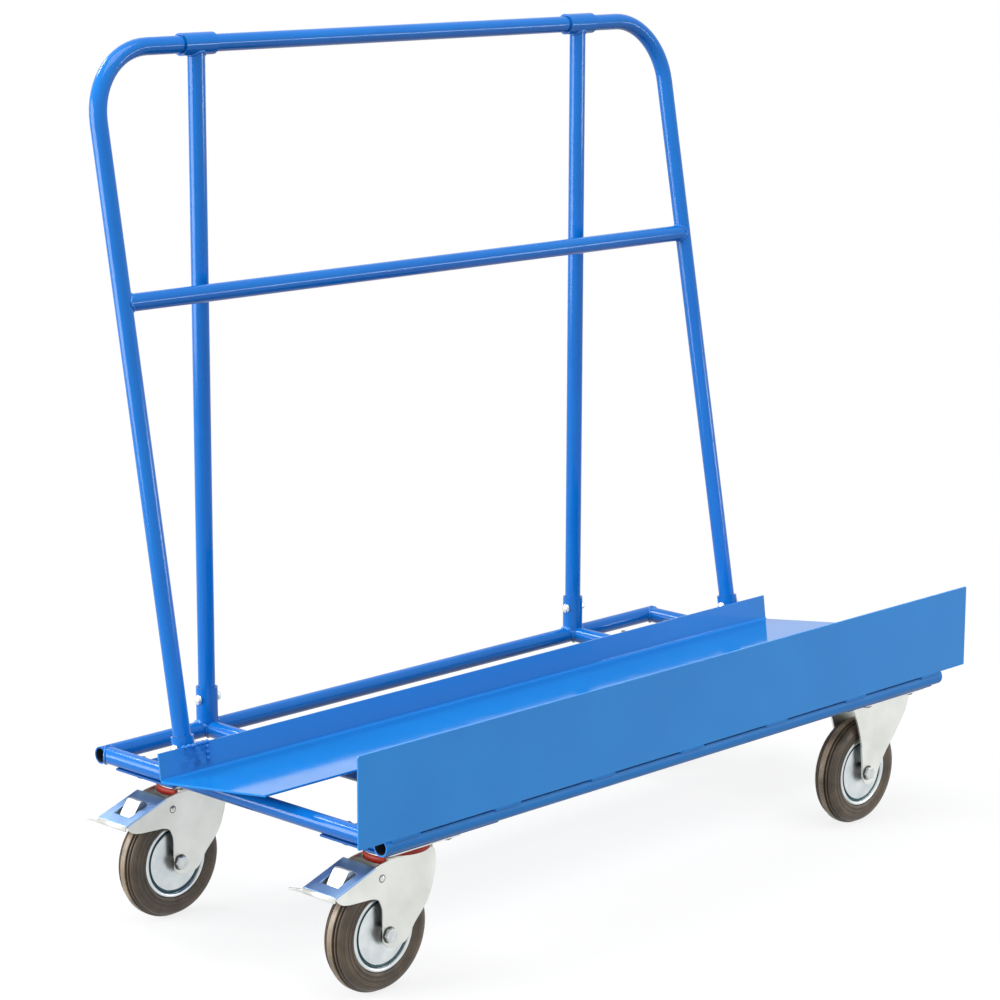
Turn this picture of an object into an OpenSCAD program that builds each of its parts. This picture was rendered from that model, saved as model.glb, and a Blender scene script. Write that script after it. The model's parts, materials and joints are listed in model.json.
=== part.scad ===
// Drywall cart: a low welded tube frame on four casters that carries upright boards.
// X runs along the cart, +Y points to its back, Z is up and the floor is at Z = 0.
// The origin is on the floor, under the middle of the cart's box.

/* [Base frame] */
// Outside diameter of every frame tube
tube_d = 25; // [20:0.5:30]
// Wall of every frame tube
tube_wall = 2; // [1.5:0.25:3]
// Length of the front base tube
rail_len = 1196; // [1100:1:1300]
// How much shorter the rear base tube is at each end
rear_short = 8; // [0:1:10]
// Distance between the centre lines of the front and rear base tubes
frame_depth = 580; // [540:5:680]
// From the open ends of the front base tube in to the centre lines of the end tubes
end_inset = 17; // [16:1:40]
// From the end tubes in to the cross tubes and the rear uprights, centre line to centre line
bay_w = 189; // [181:1:241]

/* [Tray] */
// Length of the folded tray
tray_len = 1290; // [1200:5:1400]
// Sheet thickness of the tray
tray_t = 3; // [2:0.5:4]
// Width of the tray's floor, measured over the fold
floor_w = 216; // [160:2:260]
// Height of the tray's back flange, measured over the fold
flange_h = 42; // [25:1:45]
// Backward tilt of the tray
tray_tilt = 7.5; // [6:0.5:10]
// From the rear base tube's centre line forward to the tray's fold
tray_back = 198; // [196:1:240]
// Thickness of the wedge plates that carry the tray's front edge
wedge_t = 5; // [3:0.5:8]

/* [Front plate] */
// Length of the front plate
plate_len = 1300; // [1210:5:1400]
// Height of the front plate
plate_h = 125; // [80:1:200]
// Sheet thickness of the front plate
plate_t = 3; // [2:0.5:4]
// Corner radius of the front plate
plate_corner_r = 5; // [2:0.5:20]
// How far up the front tube's round the plate's lower edge lies, from its front to its crest
plate_angle = 62; // [35:1:70]
// Number of stitch welds that hold the front plate
weld_count = 7; // [4:1:9]
// Length of one stitch weld
weld_len = 48; // [30:1:70]
// Distance between the middles of the stitch welds
weld_pitch = 188; // [120:2:190]

/* [Back frame] */
// Height of the top rail over the base tubes, centre line to centre line
rail_h = 989; // [800:5:1200]
// Height of the middle rail over the base tubes, centre line to centre line
mid_rail_h = 649; // [400:5:720]
// How far the hoop's feet stand in front of the rear base tube
leg_foot = 180; // [140:1:180]
// Bend radius of the hoop, on the tube's centre line
bend_r = 100; // [60:2:150]
// Outside diameter of the sockets and of the rail's tees
socket_d = 32; // [31:0.5:36]
// Height of the sockets over the base tubes
socket_h = 50; // [40:1:70]
// Length of a tee along the top rail
tee_len = 58; // [40:1:80]

/* [Fasteners] */
// Shank diameter of the socket bolts
socket_bolt_d = 8; // [6:0.5:10]
// Height of the socket bolts over the base tubes
socket_bolt_h = 45; // [32:1:45]
// Shank diameter of the caster bolts
caster_bolt_d = 10; // [8:0.5:11]
// Thread that stands out past the caster nuts
bolt_stick = 8; // [3:1:16]

/* [Casters] */
// Gap between the end tubes and the caster nuts beside them
side_gap = 0.1; // [0.1:0.1:17]
// Gap between the front base tube and the front caster nuts
front_gap = 3.7; // [2:0.1:40]
// Gap between the rear base tube and the rear caster nuts
rear_gap = 35.5; // [11:0.1:50]
// Size of the welded caster pads across the cart
pad_w = 124; // [112:1:130]
// Thickness of the welded caster pads
pad_t = 3; // [3:0.5:6]
// Length of a fixed caster's top plate along the cart
caster_plate_l = 150; // [140:1:154]
// Length of a swivel caster's top plate along the cart
swivel_plate_l = 135; // [128:1:150]
// Width of a caster's top plate across the cart
caster_plate_w = 110; // [100:1:112]
// Thickness of a caster's top plate
caster_plate_t = 5; // [4:0.5:7]
// Bolt spacing along the cart
bolt_pitch_l = 105; // [96:1:106]
// Bolt spacing across the cart
bolt_pitch_w = 75; // [74:1:80]
// From the top of a caster's plate down to the wheel's axle
axle_drop = 124; // [122:1:140]
// How far the swivel wheels trail behind their swivel axis
trail = 41; // [40:1:50]
// How far the fixed wheels' axle lies from the middle of the plate
fixed_offset = 29; // [15:1:34]
// Diameter of the swivel fork's crown
crown_d = 92; // [88:1:96]
// Sheet thickness of the swivel fork's crown
crown_t = 4; // [3:0.5:5]
// Sheet thickness of the fork cheeks
cheek_t = 3; // [2:0.5:4]
// Gap between the tyre and a fork cheek
fork_clear = 4.5; // [4:0.25:6]
// Height of the swivel head between the top plate and the crown
head_h = 13; // [9:0.5:14]
// Diameter of the dust ring round the swivel head
ring_d = 88; // [70:1:92]
// Diameter of the king pin
king_d = 14; // [10:0.5:18]

/* [Wheels] */
// Diameter of a wheel
wheel_d = 167; // [150:1:169]
// Width of a tyre
tyre_w = 38; // [36:1:44]
// Outside diameter of a pressed rim
rim_d = 108; // [100:1:120]
// Width of a pressed rim
rim_w = 34; // [28:1:36]
// Diameter of the axle bolts
axle_d = 12; // [8:0.5:14]
// Outside diameter of the hub bearing
hub_d = 26; // [22:0.5:30]
// Width of the rib round the middle of a tyre
rib_w = 10; // [6:0.5:14]
// Height of the rib round the middle of a tyre
rib_h = 1.5; // [0.5:0.25:3]

/* [Brakes] */
// Width of a brake pedal
pedal_w = 62; // [58:1:70]
// Sheet thickness of a brake pedal
pedal_t = 3; // [2:0.5:4]
// Length of a brake pedal along its slope
pedal_len = 86; // [84:1:86]
// Slope of a brake pedal
pedal_tilt = 19; // [17:0.5:21]
// From the swivel axis back to the pedal's pivot
pivot_back = 53; // [52:0.5:55]
// From the axle up to the pedal's pivot
pivot_rise = 80; // [77:0.5:82]
// Height of the fork's wings over the pivot, square to the pedal
wing_h = 21; // [19:0.5:22]
// Length of the fork's wings from the pivot, along the pedal
wing_len = 80; // [70:1:80]

/* [Hidden] */
$fn = 64;

frame_blue = "#2f7fce";
zinc = "#c9ccc8";
pedal_zinc = "#8f9fbd";
ring_red = "#c4452a";
rubber = "#5b4a3c";
dark_steel = "#4a4744";

// Clearances, and how far a cut runs past what it cuts
overrun = 5;
seat = 0.02;
running = 0.05;
free_gap = 0.5;
bolt_play = 0.5;
slip = 0.1;

// Small sizes of the fasteners, each with the piece that it belongs to
socket_head_d = 15;
socket_head_t = 4.5;
socket_nut_d = 15;
socket_nut_t = 6;
caster_head_d = 17.8;
caster_head_t = 6.4;
caster_nut_t = 8;
axle_head_d = 21;
axle_head_t = 7;
axle_nut_t = 9;
axle_stick = 4;
king_head_d = 26;
king_head_t = 5;
rivet_d = 6;
rivet_head_d = 9;
rivet_head_t = 2;
ear_t = 2.5;
ear_d = 16;
lip_h = 11;
lip_t = 2.5;
tip_l = 27;
tip_low = 9;
tip_high = 6;
window_l = 36;
window_w = 34;
window_start = 30;
hump_h = 8;
hump_w = 28;
hump_t = 2.5;
shoe_start = 8;
shoe_l = 18;
shoe_w = 36;
brake_gap = 0.6;
foot_gap = 3;
weld_r = 4;
pad_inset = 5;
plate_round = 8;
tyre_shoulder = 14;
rim_wall = 6;
web_t = 3;

// Tables of shares, each of the sizes named beside it
// Swivel cheek: reach from the axle to the crown's edge, drop from the crown to the axle
cheek_shares = [
    [0, 1], [1, 1], [1, 0.78], [0.99, 0.66], [0.94, 0.51], [0.89, 0.39], [0.82, 0.28], [0.71, 0.18],
    [0.54, 0.04], [0.4, -0.13], [0.35, -0.165], [0.29, -0.18], [0, -0.18], [-0.06, -0.17], [-0.1, -0.14],
    [-0.12, -0.09], [-0.12, 0.33], [-0.13, 0.38], [-0.155, 0.43], [-0.2, 0.465], [-0.2, 0.65], [0, 0.9]
];
// Wing of a swivel cheek: length and height of the wing, in the pedal's slope
wing_shares = [
    [-0.15, 0.76], [0.04, 1], [0.92, 1], [0.97, 0.95], [1, 0.84], [0.99, 0.6], [0.96, 0.36], [0.9, 0.13],
    [0.8, -0.07], [0.62, -0.31], [0.3, -0.82], [0.19, -0.95], [-0.1, -0.9]
];
// Fixed cheek: reach from the axle to the plate's far edge, drop from the plate to the axle
fixed_shares = [
    [-0.4, 1], [-0.35, 0.87], [-0.25, 0.67], [-0.16, 0.42], [-0.12, 0.15], [-0.12, -0.03], [-0.1, -0.1],
    [-0.05, -0.15], [0.02, -0.165], [0.12, -0.155], [0.2, -0.11], [0.27, 0], [0.36, 0.13], [0.44, 0.22],
    [0.66, 0.43], [0.88, 0.67], [0.97, 0.85], [1, 1]
];
// Pressed rim disc, front side: radius to the ring, and half width of the rim
disc_shares = [
    [0.24, 0.9], [0.42, 0.9], [0.6, 0.87], [0.76, 0.8], [0.87, 0.66], [0.94, 0.24], [1, 0.24]
];
socket_lap_share = 0.4;
tray_lap_share = 0.56;
hump_rise_share = 0.17;
hump_top_share = 0.3;
hump_end_share = 0.94;

// Places that follow from the sizes above
tube_r = tube_d / 2;
bore_r = tube_r - tube_wall;
wheel_r = wheel_d / 2;
end_x = rail_len / 2 - end_inset;
upright_x = end_x - bay_w;
nut_reach = tube_r + caster_head_d / 2;
caster_x = end_x - nut_reach - side_gap - bolt_pitch_l / 2;
caster_h = wheel_r + axle_drop;
base_h = caster_h + pad_t + tube_r;
rear_y = (frame_depth + tube_r + plate_t - socket_d / 2) / 2;
front_y = rear_y - frame_depth;
front_caster_y = front_y + nut_reach + front_gap + bolt_pitch_w / 2;
rear_caster_y = rear_y - nut_reach - rear_gap - bolt_pitch_w / 2;
top_z = base_h + rail_h;
leg_lean = atan(leg_foot / rail_h);
leg_run = rail_h / cos(leg_lean);
leg_len = (rail_h - tube_r) / cos(leg_lean) - foot_gap;
plate_lift = tube_r * sin(plate_angle);
mid_drop = (rail_h - mid_rail_h) / cos(leg_lean);
// Where a socket bolt crosses a leg, measured down the leg from the rail
leg_bolt_drop = (rail_h - socket_bolt_h) / cos(leg_lean);
// Radius of a ball whose cap is as wide and as tall as a socket bolt's head
dome_r = (socket_head_d * socket_head_d / 4 + socket_head_t * socket_head_t) / (2 * socket_head_t);
plate_top_z = caster_h - caster_plate_t;
crown_top_z = plate_top_z - head_h;
fork_in = tyre_w / 2 + fork_clear;
fork_out = fork_in + cheek_t;
hub_half = fork_in - free_gap;
pivot_z = wheel_r + pivot_rise;
pedal_low = wing_h + free_gap;
fixed_reach = caster_plate_l / 2 + fixed_offset;
caster_ys = [front_caster_y, rear_caster_y];

// Solid rod along X between two places
module rod_x(x0, x1, r) {
    translate([x0, 0, 0]) rotate([0, 90, 0]) cylinder(h = x1 - x0, r = r);
}

// Solid rod along Y between two places
module rod_y(y0, y1, r) {
    translate([0, y0, 0]) rotate([-90, 0, 0]) cylinder(h = y1 - y0, r = r);
}

// Frame tube along X, open at both ends
module pipe_x(x0, x1) {
    difference() {
        rod_x(x0, x1, tube_r);
        rod_x(x0 - overrun, x1 + overrun, bore_r);
    }
}

// Sheet with rounded corners, lying flat and centred
module round_sheet(l, w, t, r) {
    linear_extrude(t) {
        square([l - 2 * r, w], center = true);
        square([l, w - 2 * r], center = true);
        for (sx = [-1, 1], sy = [-1, 1]) translate([sx * (l / 2 - r), sy * (w / 2 - r)]) circle(r);
    }
}

// The four bolt places of a caster plate
module at_bolts() {
    for (sx = [-1, 1], sy = [-1, 1]) {
        translate([sx * bolt_pitch_l / 2, sy * bolt_pitch_w / 2, 0]) children();
    }
}

// Both long base tubes
module base_rail(y, half) {
    translate([0, y, base_h]) pipe_x(-half, half);
}

module rear_tube() {
    color(frame_blue) base_rail(rear_y, rail_len / 2 - rear_short);
}

module front_tube() {
    color(frame_blue) base_rail(front_y, rail_len / 2);
}

// Tube from the rear rail to the front rail, with its ends cut round to sit on both
module depth_tube(x) {
    color(frame_blue) translate([x, 0, base_h]) difference() {
        rod_y(front_y, rear_y, tube_r);
        rod_y(front_y - overrun, rear_y + overrun, bore_r);
        for (y = [front_y, rear_y]) translate([0, y, 0]) rod_x(-tube_d, tube_d, tube_r + seat);
    }
}

module left_end_tube() {
    depth_tube(-end_x);
}

module right_end_tube() {
    depth_tube(end_x);
}

module left_cross_tube() {
    depth_tube(-upright_x);
}

module right_cross_tube() {
    depth_tube(upright_x);
}

// The tray's own slope: its fold lies on the crests of the tubes under it
module in_tray() {
    translate([0, rear_y - tray_back, base_h + tube_r]) rotate([-tray_tilt, 0, 0]) children();
}

module tray() {
    color(frame_blue) in_tray() {
        translate([-tray_len / 2, -floor_w, 0]) cube([tray_len, floor_w, tray_t]);
        translate([-tray_len / 2, -tray_t, 0]) cube([tray_len, tray_t, flange_h]);
    }
}

// Wedge plates on the cross tubes, under the front half of the tray's rising floor
module tray_wedges() {
    front = floor_w * cos(tray_tilt);
    rise = floor_w * sin(tray_tilt);
    back = front * tray_lap_share;
    outline = [[-front, 0], [-back, 0], [-back, rise * tray_lap_share], [-front, rise]];
    color(frame_blue) for (x = [-upright_x, upright_x]) {
        translate([x - wedge_t / 2, rear_y - tray_back, base_h + tube_r]) rotate([90, 0, 90])
            linear_extrude(wedge_t) polygon(outline);
    }
}

module front_plate() {
    color(frame_blue) translate([0, front_y - tube_r, base_h + plate_lift + plate_h / 2])
        rotate([90, 0, 0]) round_sheet(plate_len, plate_h, plate_t, plate_corner_r);
}

// Stitch welds in the groove between the front plate's lower edge and the front tube
module plate_welds() {
    weld_y = front_y - tube_r - plate_t + weld_r;
    color(frame_blue) difference() {
        for (i = [0 : weld_count - 1]) {
            x = (i - (weld_count - 1) / 2) * weld_pitch;
            translate([0, weld_y, base_h + plate_lift]) rod_x(x - weld_len / 2, x + weld_len / 2, weld_r);
        }
        translate([0, front_y, base_h]) rod_x(-rail_len / 2, rail_len / 2, tube_r);
        translate([-plate_len / 2, front_y - tube_r - plate_t, base_h + plate_lift])
            cube([plate_len, plate_t, plate_h]);
    }
}

// Pads under the end tubes and cross tubes, drilled for the casters
module caster_pads() {
    inner = upright_x - tube_r;
    outer = end_x + tube_r - pad_inset;
    color(frame_blue) for (side = [-1, 1], y = caster_ys) difference() {
        translate([side * (inner + outer) / 2, y, caster_h]) translate([(inner - outer) / 2, -pad_w / 2, 0])
            cube([outer - inner, pad_w, pad_t]);
        translate([side * caster_x, y, caster_h - overrun]) at_bolts()
            cylinder(h = pad_t + 2 * overrun, d = caster_bolt_d + bolt_play);
    }
}

// The hoop's leaning plane, hung from the middle of the top rail
module in_hoop() {
    translate([0, rear_y, top_z]) rotate([-leg_lean, 0, 0]) children();
}

// One bent tube: two legs, two bends and the top rail
module hoop() {
    color(frame_blue) in_hoop() difference() {
        union() {
            pipe_x(-(end_x - bend_r), end_x - bend_r);
            for (side = [-1, 1]) {
                translate([side * end_x, 0, -leg_len]) difference() {
                    cylinder(h = leg_len - bend_r, r = tube_r);
                    translate([0, 0, -overrun]) cylinder(h = leg_len - bend_r + 2 * overrun, r = bore_r);
                }
                translate([side * (end_x - bend_r), 0, -bend_r])
                    rotate([90, 0, 0]) rotate([0, 0, side > 0 ? 0 : 90]) rotate_extrude(angle = 90)
                        translate([bend_r, 0]) difference() {
                            circle(tube_r);
                            circle(bore_r);
                        }
            }
        }
        for (side = [-1, 1]) translate([side * end_x, 0, -leg_bolt_drop])
            rod_x(-tube_d, tube_d, (socket_bolt_d + bolt_play) / 2);
    }
}

module mid_rail() {
    color(frame_blue) in_hoop() translate([0, 0, -mid_drop]) difference() {
        pipe_x(-end_x, end_x);
        for (side = [-1, 1]) translate([side * end_x, 0, -tube_d])
            cylinder(h = 2 * tube_d, r = tube_r + seat);
    }
}

// Vertical tube from its socket on the rear rail up to its tee
module upright(side) {
    low = tube_r + foot_gap;
    color(frame_blue) translate([side * upright_x, rear_y, base_h]) difference() {
        translate([0, 0, low]) cylinder(h = rail_h - low, r = tube_r);
        translate([0, 0, low - overrun]) cylinder(h = rail_h, r = bore_r);
        translate([0, 0, socket_bolt_h]) rod_x(-tube_d, tube_d, (socket_bolt_d + bolt_play) / 2);
        translate([0, 0, rail_h]) rod_x(-tube_d, tube_d, socket_d / 2 + seat);
    }
}

module left_upright() {
    upright(-1);
}

module right_upright() {
    upright(1);
}

// Sleeves round the top rail, with an upright welded under each
module rail_tees() {
    color(frame_blue) for (side = [-1, 1]) translate([side * upright_x, rear_y, top_z]) difference() {
        rod_x(-tee_len / 2, tee_len / 2, socket_d / 2);
        rod_x(-tee_len / 2 - overrun, tee_len / 2 + overrun, tube_r + seat);
    }
}

// Upright stubs on the rear rail, cut round to sit on it and on the cross tube
module upright_sockets() {
    low = tube_r * socket_lap_share;
    color(frame_blue) for (side = [-1, 1]) translate([side * upright_x, rear_y, base_h]) difference() {
        translate([0, 0, low]) cylinder(h = tube_r + socket_h - low, d = socket_d);
        translate([0, 0, low - overrun]) cylinder(h = tube_r + socket_h + overrun, r = tube_r + slip);
        rod_x(-socket_d, socket_d, tube_r + seat);
        rod_y(-socket_d, 0, tube_r + seat);
        translate([0, 0, socket_bolt_h]) rod_x(-socket_d, socket_d, (socket_bolt_d + bolt_play) / 2);
    }
}

// Leaning stubs on the end tubes for the hoop's feet
module leg_sockets() {
    low = leg_run - tube_r * socket_lap_share;
    high = leg_run - tube_r - socket_h;
    color(frame_blue) for (side = [-1, 1]) difference() {
        in_hoop() translate([side * end_x, 0, -low]) difference() {
            cylinder(h = low - high, d = socket_d);
            translate([0, 0, -overrun]) cylinder(h = low - high + 2 * overrun, r = tube_r + slip);
            translate([0, 0, low - leg_bolt_drop])
                rod_x(-socket_d, socket_d, (socket_bolt_d + bolt_play) / 2);
        }
        translate([side * end_x, 0, base_h]) rod_y(front_y, rear_y, tube_r + seat);
    }
}

// The four places of the socket bolts, two on the uprights and two on the hoop's feet
module at_sockets() {
    for (side = [-1, 1]) {
        translate([side * upright_x, rear_y, base_h + socket_bolt_h]) children();
        in_hoop() translate([side * end_x, 0, -leg_bolt_drop]) children();
    }
}

// Domed bolts through the sockets, along the cart
module socket_bolts() {
    color(zinc) at_sockets() {
        rod_x(-socket_d / 2, socket_d / 2 + socket_nut_t, socket_bolt_d / 2);
        translate([-socket_d / 2, 0, 0]) rotate([0, -90, 0]) rotate_extrude() intersection() {
            translate([0, socket_head_t - dome_r]) circle(dome_r);
            square([socket_head_d / 2, socket_head_t]);
        }
    }
}

module socket_nuts() {
    color(zinc) at_sockets() difference() {
        translate([socket_d / 2, 0, 0]) rotate([0, 90, 0])
            cylinder(h = socket_nut_t, d = socket_nut_d, $fn = 6);
        rod_x(0, socket_d, socket_bolt_d / 2 + seat);
    }
}

// Both ends of the cart and both rows of casters
module at_casters(sides) {
    for (side = sides, y = caster_ys) translate([side * caster_x, y, 0]) children();
}

module caster_bolts() {
    color(dark_steel) at_casters([-1, 1]) at_bolts() {
        translate([0, 0, plate_top_z - caster_head_t])
            cylinder(h = caster_head_t, d = caster_head_d, $fn = 6);
        translate([0, 0, plate_top_z])
            cylinder(h = caster_plate_t + pad_t + caster_nut_t + bolt_stick, d = caster_bolt_d);
    }
}

module caster_nuts() {
    color(dark_steel) at_casters([-1, 1]) at_bolts() translate([0, 0, caster_h + pad_t]) difference() {
        cylinder(h = caster_nut_t, d = caster_head_d, $fn = 6);
        translate([0, 0, -overrun]) cylinder(h = caster_nut_t + 2 * overrun, d = caster_bolt_d + 2 * seat);
    }
}

// Drilled top plate of a caster, below the pad
module plate_blank(l) {
    translate([0, 0, plate_top_z]) difference() {
        round_sheet(l, caster_plate_w, caster_plate_t, plate_round);
        translate([0, 0, -overrun]) at_bolts()
            cylinder(h = caster_plate_t + 2 * overrun, d = caster_bolt_d + bolt_play);
    }
}

module top_plate(y) {
    color(zinc) translate([-caster_x, y, 0]) difference() {
        plate_blank(swivel_plate_l);
        translate([0, 0, plate_top_z - overrun])
            cylinder(h = caster_plate_t + 2 * overrun, r = king_d / 2 + seat);
    }
}

// King pins, riveted in the top plates, with their heads under the crowns
module king_pins() {
    low = crown_top_z - crown_t - free_gap - king_head_t;
    color(zinc) at_casters([-1]) {
        translate([0, 0, low]) cylinder(h = caster_h - low, d = king_d);
        translate([0, 0, low]) cylinder(h = king_head_t, d = king_head_d);
    }
}

// Dust ring round the balls of the swivel head
module dust_ring(y) {
    color(ring_red) translate([-caster_x, y, crown_top_z + free_gap]) difference() {
        cylinder(h = head_h - free_gap, d = ring_d);
        translate([0, 0, -overrun]) cylinder(h = head_h + 2 * overrun, r = king_d / 2 + seat);
    }
}

// Upright sheet from an outline in X and Z, one sheet thickness deep along +Y
module side_sheet(points, y, t) {
    translate([0, y + t, 0]) rotate([90, 0, 0]) linear_extrude(t) polygon(points);
}

// The pedal's slope: local -X runs out along the pedal, from its pivot
module in_pedal() {
    translate([-pivot_back, 0, pivot_z]) rotate([0, -pedal_tilt, 0]) children();
}

// Crown with round ends and two cheeks, each with a wing that reaches out under the pedal
module swivel_fork(y) {
    reach = trail + crown_d / 2;
    drop = crown_top_z - wheel_r;
    cheek = [for (s = cheek_shares) [s[0] * reach - trail, wheel_r + s[1] * drop]];
    wing = [for (s = wing_shares) [-s[0] * wing_len, s[1] * wing_h]];
    color(zinc) translate([-caster_x, y, 0]) difference() {
        union() {
            translate([0, 0, crown_top_z - crown_t]) linear_extrude(crown_t) intersection() {
                circle(d = crown_d);
                square([crown_d, 2 * fork_out], center = true);
            }
            for (low = [-fork_out, fork_in]) {
                side_sheet(cheek, low, cheek_t);
                in_pedal() side_sheet(wing, low, cheek_t);
            }
        }
        translate([0, 0, crown_top_z - crown_t - overrun])
            cylinder(h = crown_t + 2 * overrun, r = king_d / 2 + running);
        translate([-trail, 0, wheel_r]) rod_y(-fork_out - overrun, fork_out + overrun, axle_d / 2 + seat);
        in_pedal() rod_y(-fork_out - overrun, fork_out + overrun, rivet_d / 2 + seat);
    }
}

// Short rivets, one in each cheek, that the pedal turns on
module pedal_rivets(y) {
    inner = fork_in - free_gap - ear_t;
    color(zinc) translate([-caster_x, y, 0]) in_pedal() for (side = [0, 180]) rotate([0, 0, side]) {
        rod_y(inner, fork_out, rivet_d / 2);
        rod_y(fork_out, fork_out + rivet_head_t, rivet_head_d / 2);
    }
}

// Stamped pedal with a lip that runs out to a tip at the back, a window, a raised tab and two ears
module pedal(y) {
    ear_out = fork_in - free_gap;
    ear_in = ear_out - ear_t;
    ear_top = pedal_low + pedal_t / 2;
    ear = [
        [ear_d / 2, 0], [0, ear_top], [-window_start, ear_top],
        [-window_start, pedal_low - lip_h], [-ear_d / 2, 0]
    ];
    rise = window_start + window_l * hump_rise_share;
    top = window_start + window_l * hump_top_share;
    end = window_start + window_l * hump_end_share;
    high = pedal_low + pedal_t + hump_h;
    hump = [
        [hump_t - window_start, pedal_low], [hump_t - window_start, pedal_low + pedal_t],
        [-window_start, pedal_low + pedal_t], [-rise, high], [-top, high],
        [-end, pedal_low - hump_h], [-end + hump_t, pedal_low - hump_h], [-top + hump_t, high - hump_t],
        [-rise - hump_t / 2, high - hump_t], [-window_start, pedal_low]
    ];
    lip_top = pedal_low + pedal_t;
    lip = [
        [-pedal_w / 2, lip_top - lip_h], [pedal_w / 2, lip_top - lip_h],
        [pedal_w / 2 + tip_l, lip_top - tip_low], [pedal_w / 2 + tip_l, lip_top - tip_high],
        [pedal_w / 2, lip_top], [-pedal_w / 2, lip_top]
    ];
    color(pedal_zinc) translate([-caster_x, y, 0]) in_pedal() difference() {
        union() {
            difference() {
                translate([-pedal_len - lip_t, -pedal_w / 2, pedal_low])
                    cube([pedal_len + lip_t - ear_t, pedal_w, pedal_t]);
                translate([-window_start - window_l, -window_w / 2, pedal_low - overrun])
                    cube([window_l, window_w, pedal_t + 2 * overrun]);
            }
            translate([-pedal_len - lip_t, 0, 0]) rotate([90, 0, 90]) linear_extrude(lip_t) polygon(lip);
            side_sheet(hump, -hump_w / 2, hump_w);
            for (low = [-ear_out, ear_in]) {
                side_sheet(ear, low, ear_t);
                rod_y(low, low + ear_t, ear_d / 2);
            }
        }
        rod_y(-ear_out - overrun, ear_out + overrun, rivet_d / 2 + running);
    }
}

// Brake block under the pedal, hollowed to the tyre's round
module brake_shoe(y) {
    color(dark_steel) translate([-caster_x, y, 0]) difference() {
        in_pedal() translate([-shoe_start - shoe_l, -shoe_w / 2, 0]) cube([shoe_l, shoe_w, pedal_low]);
        translate([-trail, 0, wheel_r]) rod_y(-tyre_w, tyre_w, wheel_r + brake_gap);
    }
}

// Fixed caster: the drilled plate and two leaning cheeks are one pressing
module fixed_fork(y) {
    drop = plate_top_z - wheel_r;
    edge = [for (s = fixed_shares) [s[0] * fixed_reach - fixed_offset, wheel_r + s[1] * drop]];
    root = [for (i = [len(edge) - 1, 0]) edge[i] + [0, caster_plate_t / 2]];
    cheek = concat(edge, root);
    color(zinc) translate([caster_x, y, 0]) difference() {
        union() {
            plate_blank(caster_plate_l);
            for (low = [-fork_out, fork_in]) side_sheet(cheek, low, cheek_t);
        }
        translate([-fixed_offset, 0, wheel_r])
            rod_y(-fork_out - overrun, fork_out + overrun, axle_d / 2 + seat);
    }
}

// The wheel's middle, on a swivel caster at the left or on a fixed one at the right
module at_axle(side, y) {
    translate([side < 0 ? -caster_x - trail : caster_x - fixed_offset, y, wheel_r]) children();
}

module axle_bolt(side, y) {
    color(zinc) at_axle(side, y) {
        rod_y(-fork_out, fork_out + axle_nut_t + axle_stick, axle_d / 2);
        translate([0, -fork_out, 0]) rotate([90, 0, 0]) cylinder(h = axle_head_t, d = axle_head_d, $fn = 6);
    }
}

module axle_nut(side, y) {
    color(zinc) at_axle(side, y) translate([0, fork_out, 0]) difference() {
        rotate([-90, 0, 0]) cylinder(h = axle_nut_t, d = axle_head_d, $fn = 6);
        rod_y(-overrun, axle_nut_t + overrun, axle_d / 2 + seat);
    }
}

// Solid of revolution round the axle, from an outline in radius and width
module turned(points) {
    rotate([90, 0, 0]) rotate_extrude($fn = 96) polygon(points);
}

// Rubber tyre: oval shoulders, with a rib round the middle
module tyre(side, y) {
    in_r = rim_d / 2 + seat;
    mid_r = wheel_r - rib_h - tyre_shoulder;
    shoulder = [for (a = [0 : 10 : 180]) [mid_r + tyre_shoulder * sin(a), tyre_w / 2 * cos(a)]];
    color(rubber) at_axle(side, y) {
        turned(concat([[in_r, rim_w / 2]], shoulder, [[in_r, -rim_w / 2]]));
        turned([[mid_r, -rib_w / 2], [wheel_r, -rib_w / 2], [wheel_r, rib_w / 2], [mid_r, rib_w / 2]]);
    }
}

// Pressed rim: an outer ring and a dished disc on each side of the wheel
module rim(side, y) {
    ring_r = rim_d / 2 - rim_wall;
    face = [for (s = disc_shares) [max(s[0] * ring_r, hub_d / 2 + seat), s[1] * rim_w / 2]];
    back = [for (i = [len(face) - 1 : -1 : 0]) [face[i][0], face[i][1] - web_t]];
    color(zinc) at_axle(side, y) {
        turned([[ring_r, -rim_w / 2], [rim_d / 2, -rim_w / 2], [rim_d / 2, rim_w / 2], [ring_r, rim_w / 2]]);
        for (turn = [0, 180]) rotate([turn, 0, 0]) turned(concat(face, back));
    }
}

// Bearing bush between the axle bolt and the rim
module hub(side, y) {
    color(dark_steel) at_axle(side, y) difference() {
        rod_y(-hub_half, hub_half, hub_d / 2);
        rod_y(-hub_half - overrun, hub_half + overrun, axle_d / 2 + running);
    }
}

rear_tube();
front_tube();
left_end_tube();
right_end_tube();
left_cross_tube();
right_cross_tube();
tray();
tray_wedges();
front_plate();
plate_welds();
caster_pads();
hoop();
mid_rail();
left_upright();
right_upright();
rail_tees();
upright_sockets();
leg_sockets();
socket_bolts();
socket_nuts();
caster_bolts();
caster_nuts();
top_plate(front_caster_y);  // front_left_top_plate
top_plate(rear_caster_y);  // rear_left_top_plate
king_pins();
dust_ring(front_caster_y);  // front_left_dust_ring
dust_ring(rear_caster_y);  // rear_left_dust_ring
swivel_fork(front_caster_y);  // front_left_fork
swivel_fork(rear_caster_y);  // rear_left_fork
pedal_rivets(front_caster_y);  // front_left_pedal_rivets
pedal_rivets(rear_caster_y);  // rear_left_pedal_rivets
pedal(front_caster_y);  // front_left_pedal
pedal(rear_caster_y);  // rear_left_pedal
brake_shoe(front_caster_y);  // front_left_brake_shoe
brake_shoe(rear_caster_y);  // rear_left_brake_shoe
fixed_fork(front_caster_y);  // front_right_fork
fixed_fork(rear_caster_y);  // rear_right_fork
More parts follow.
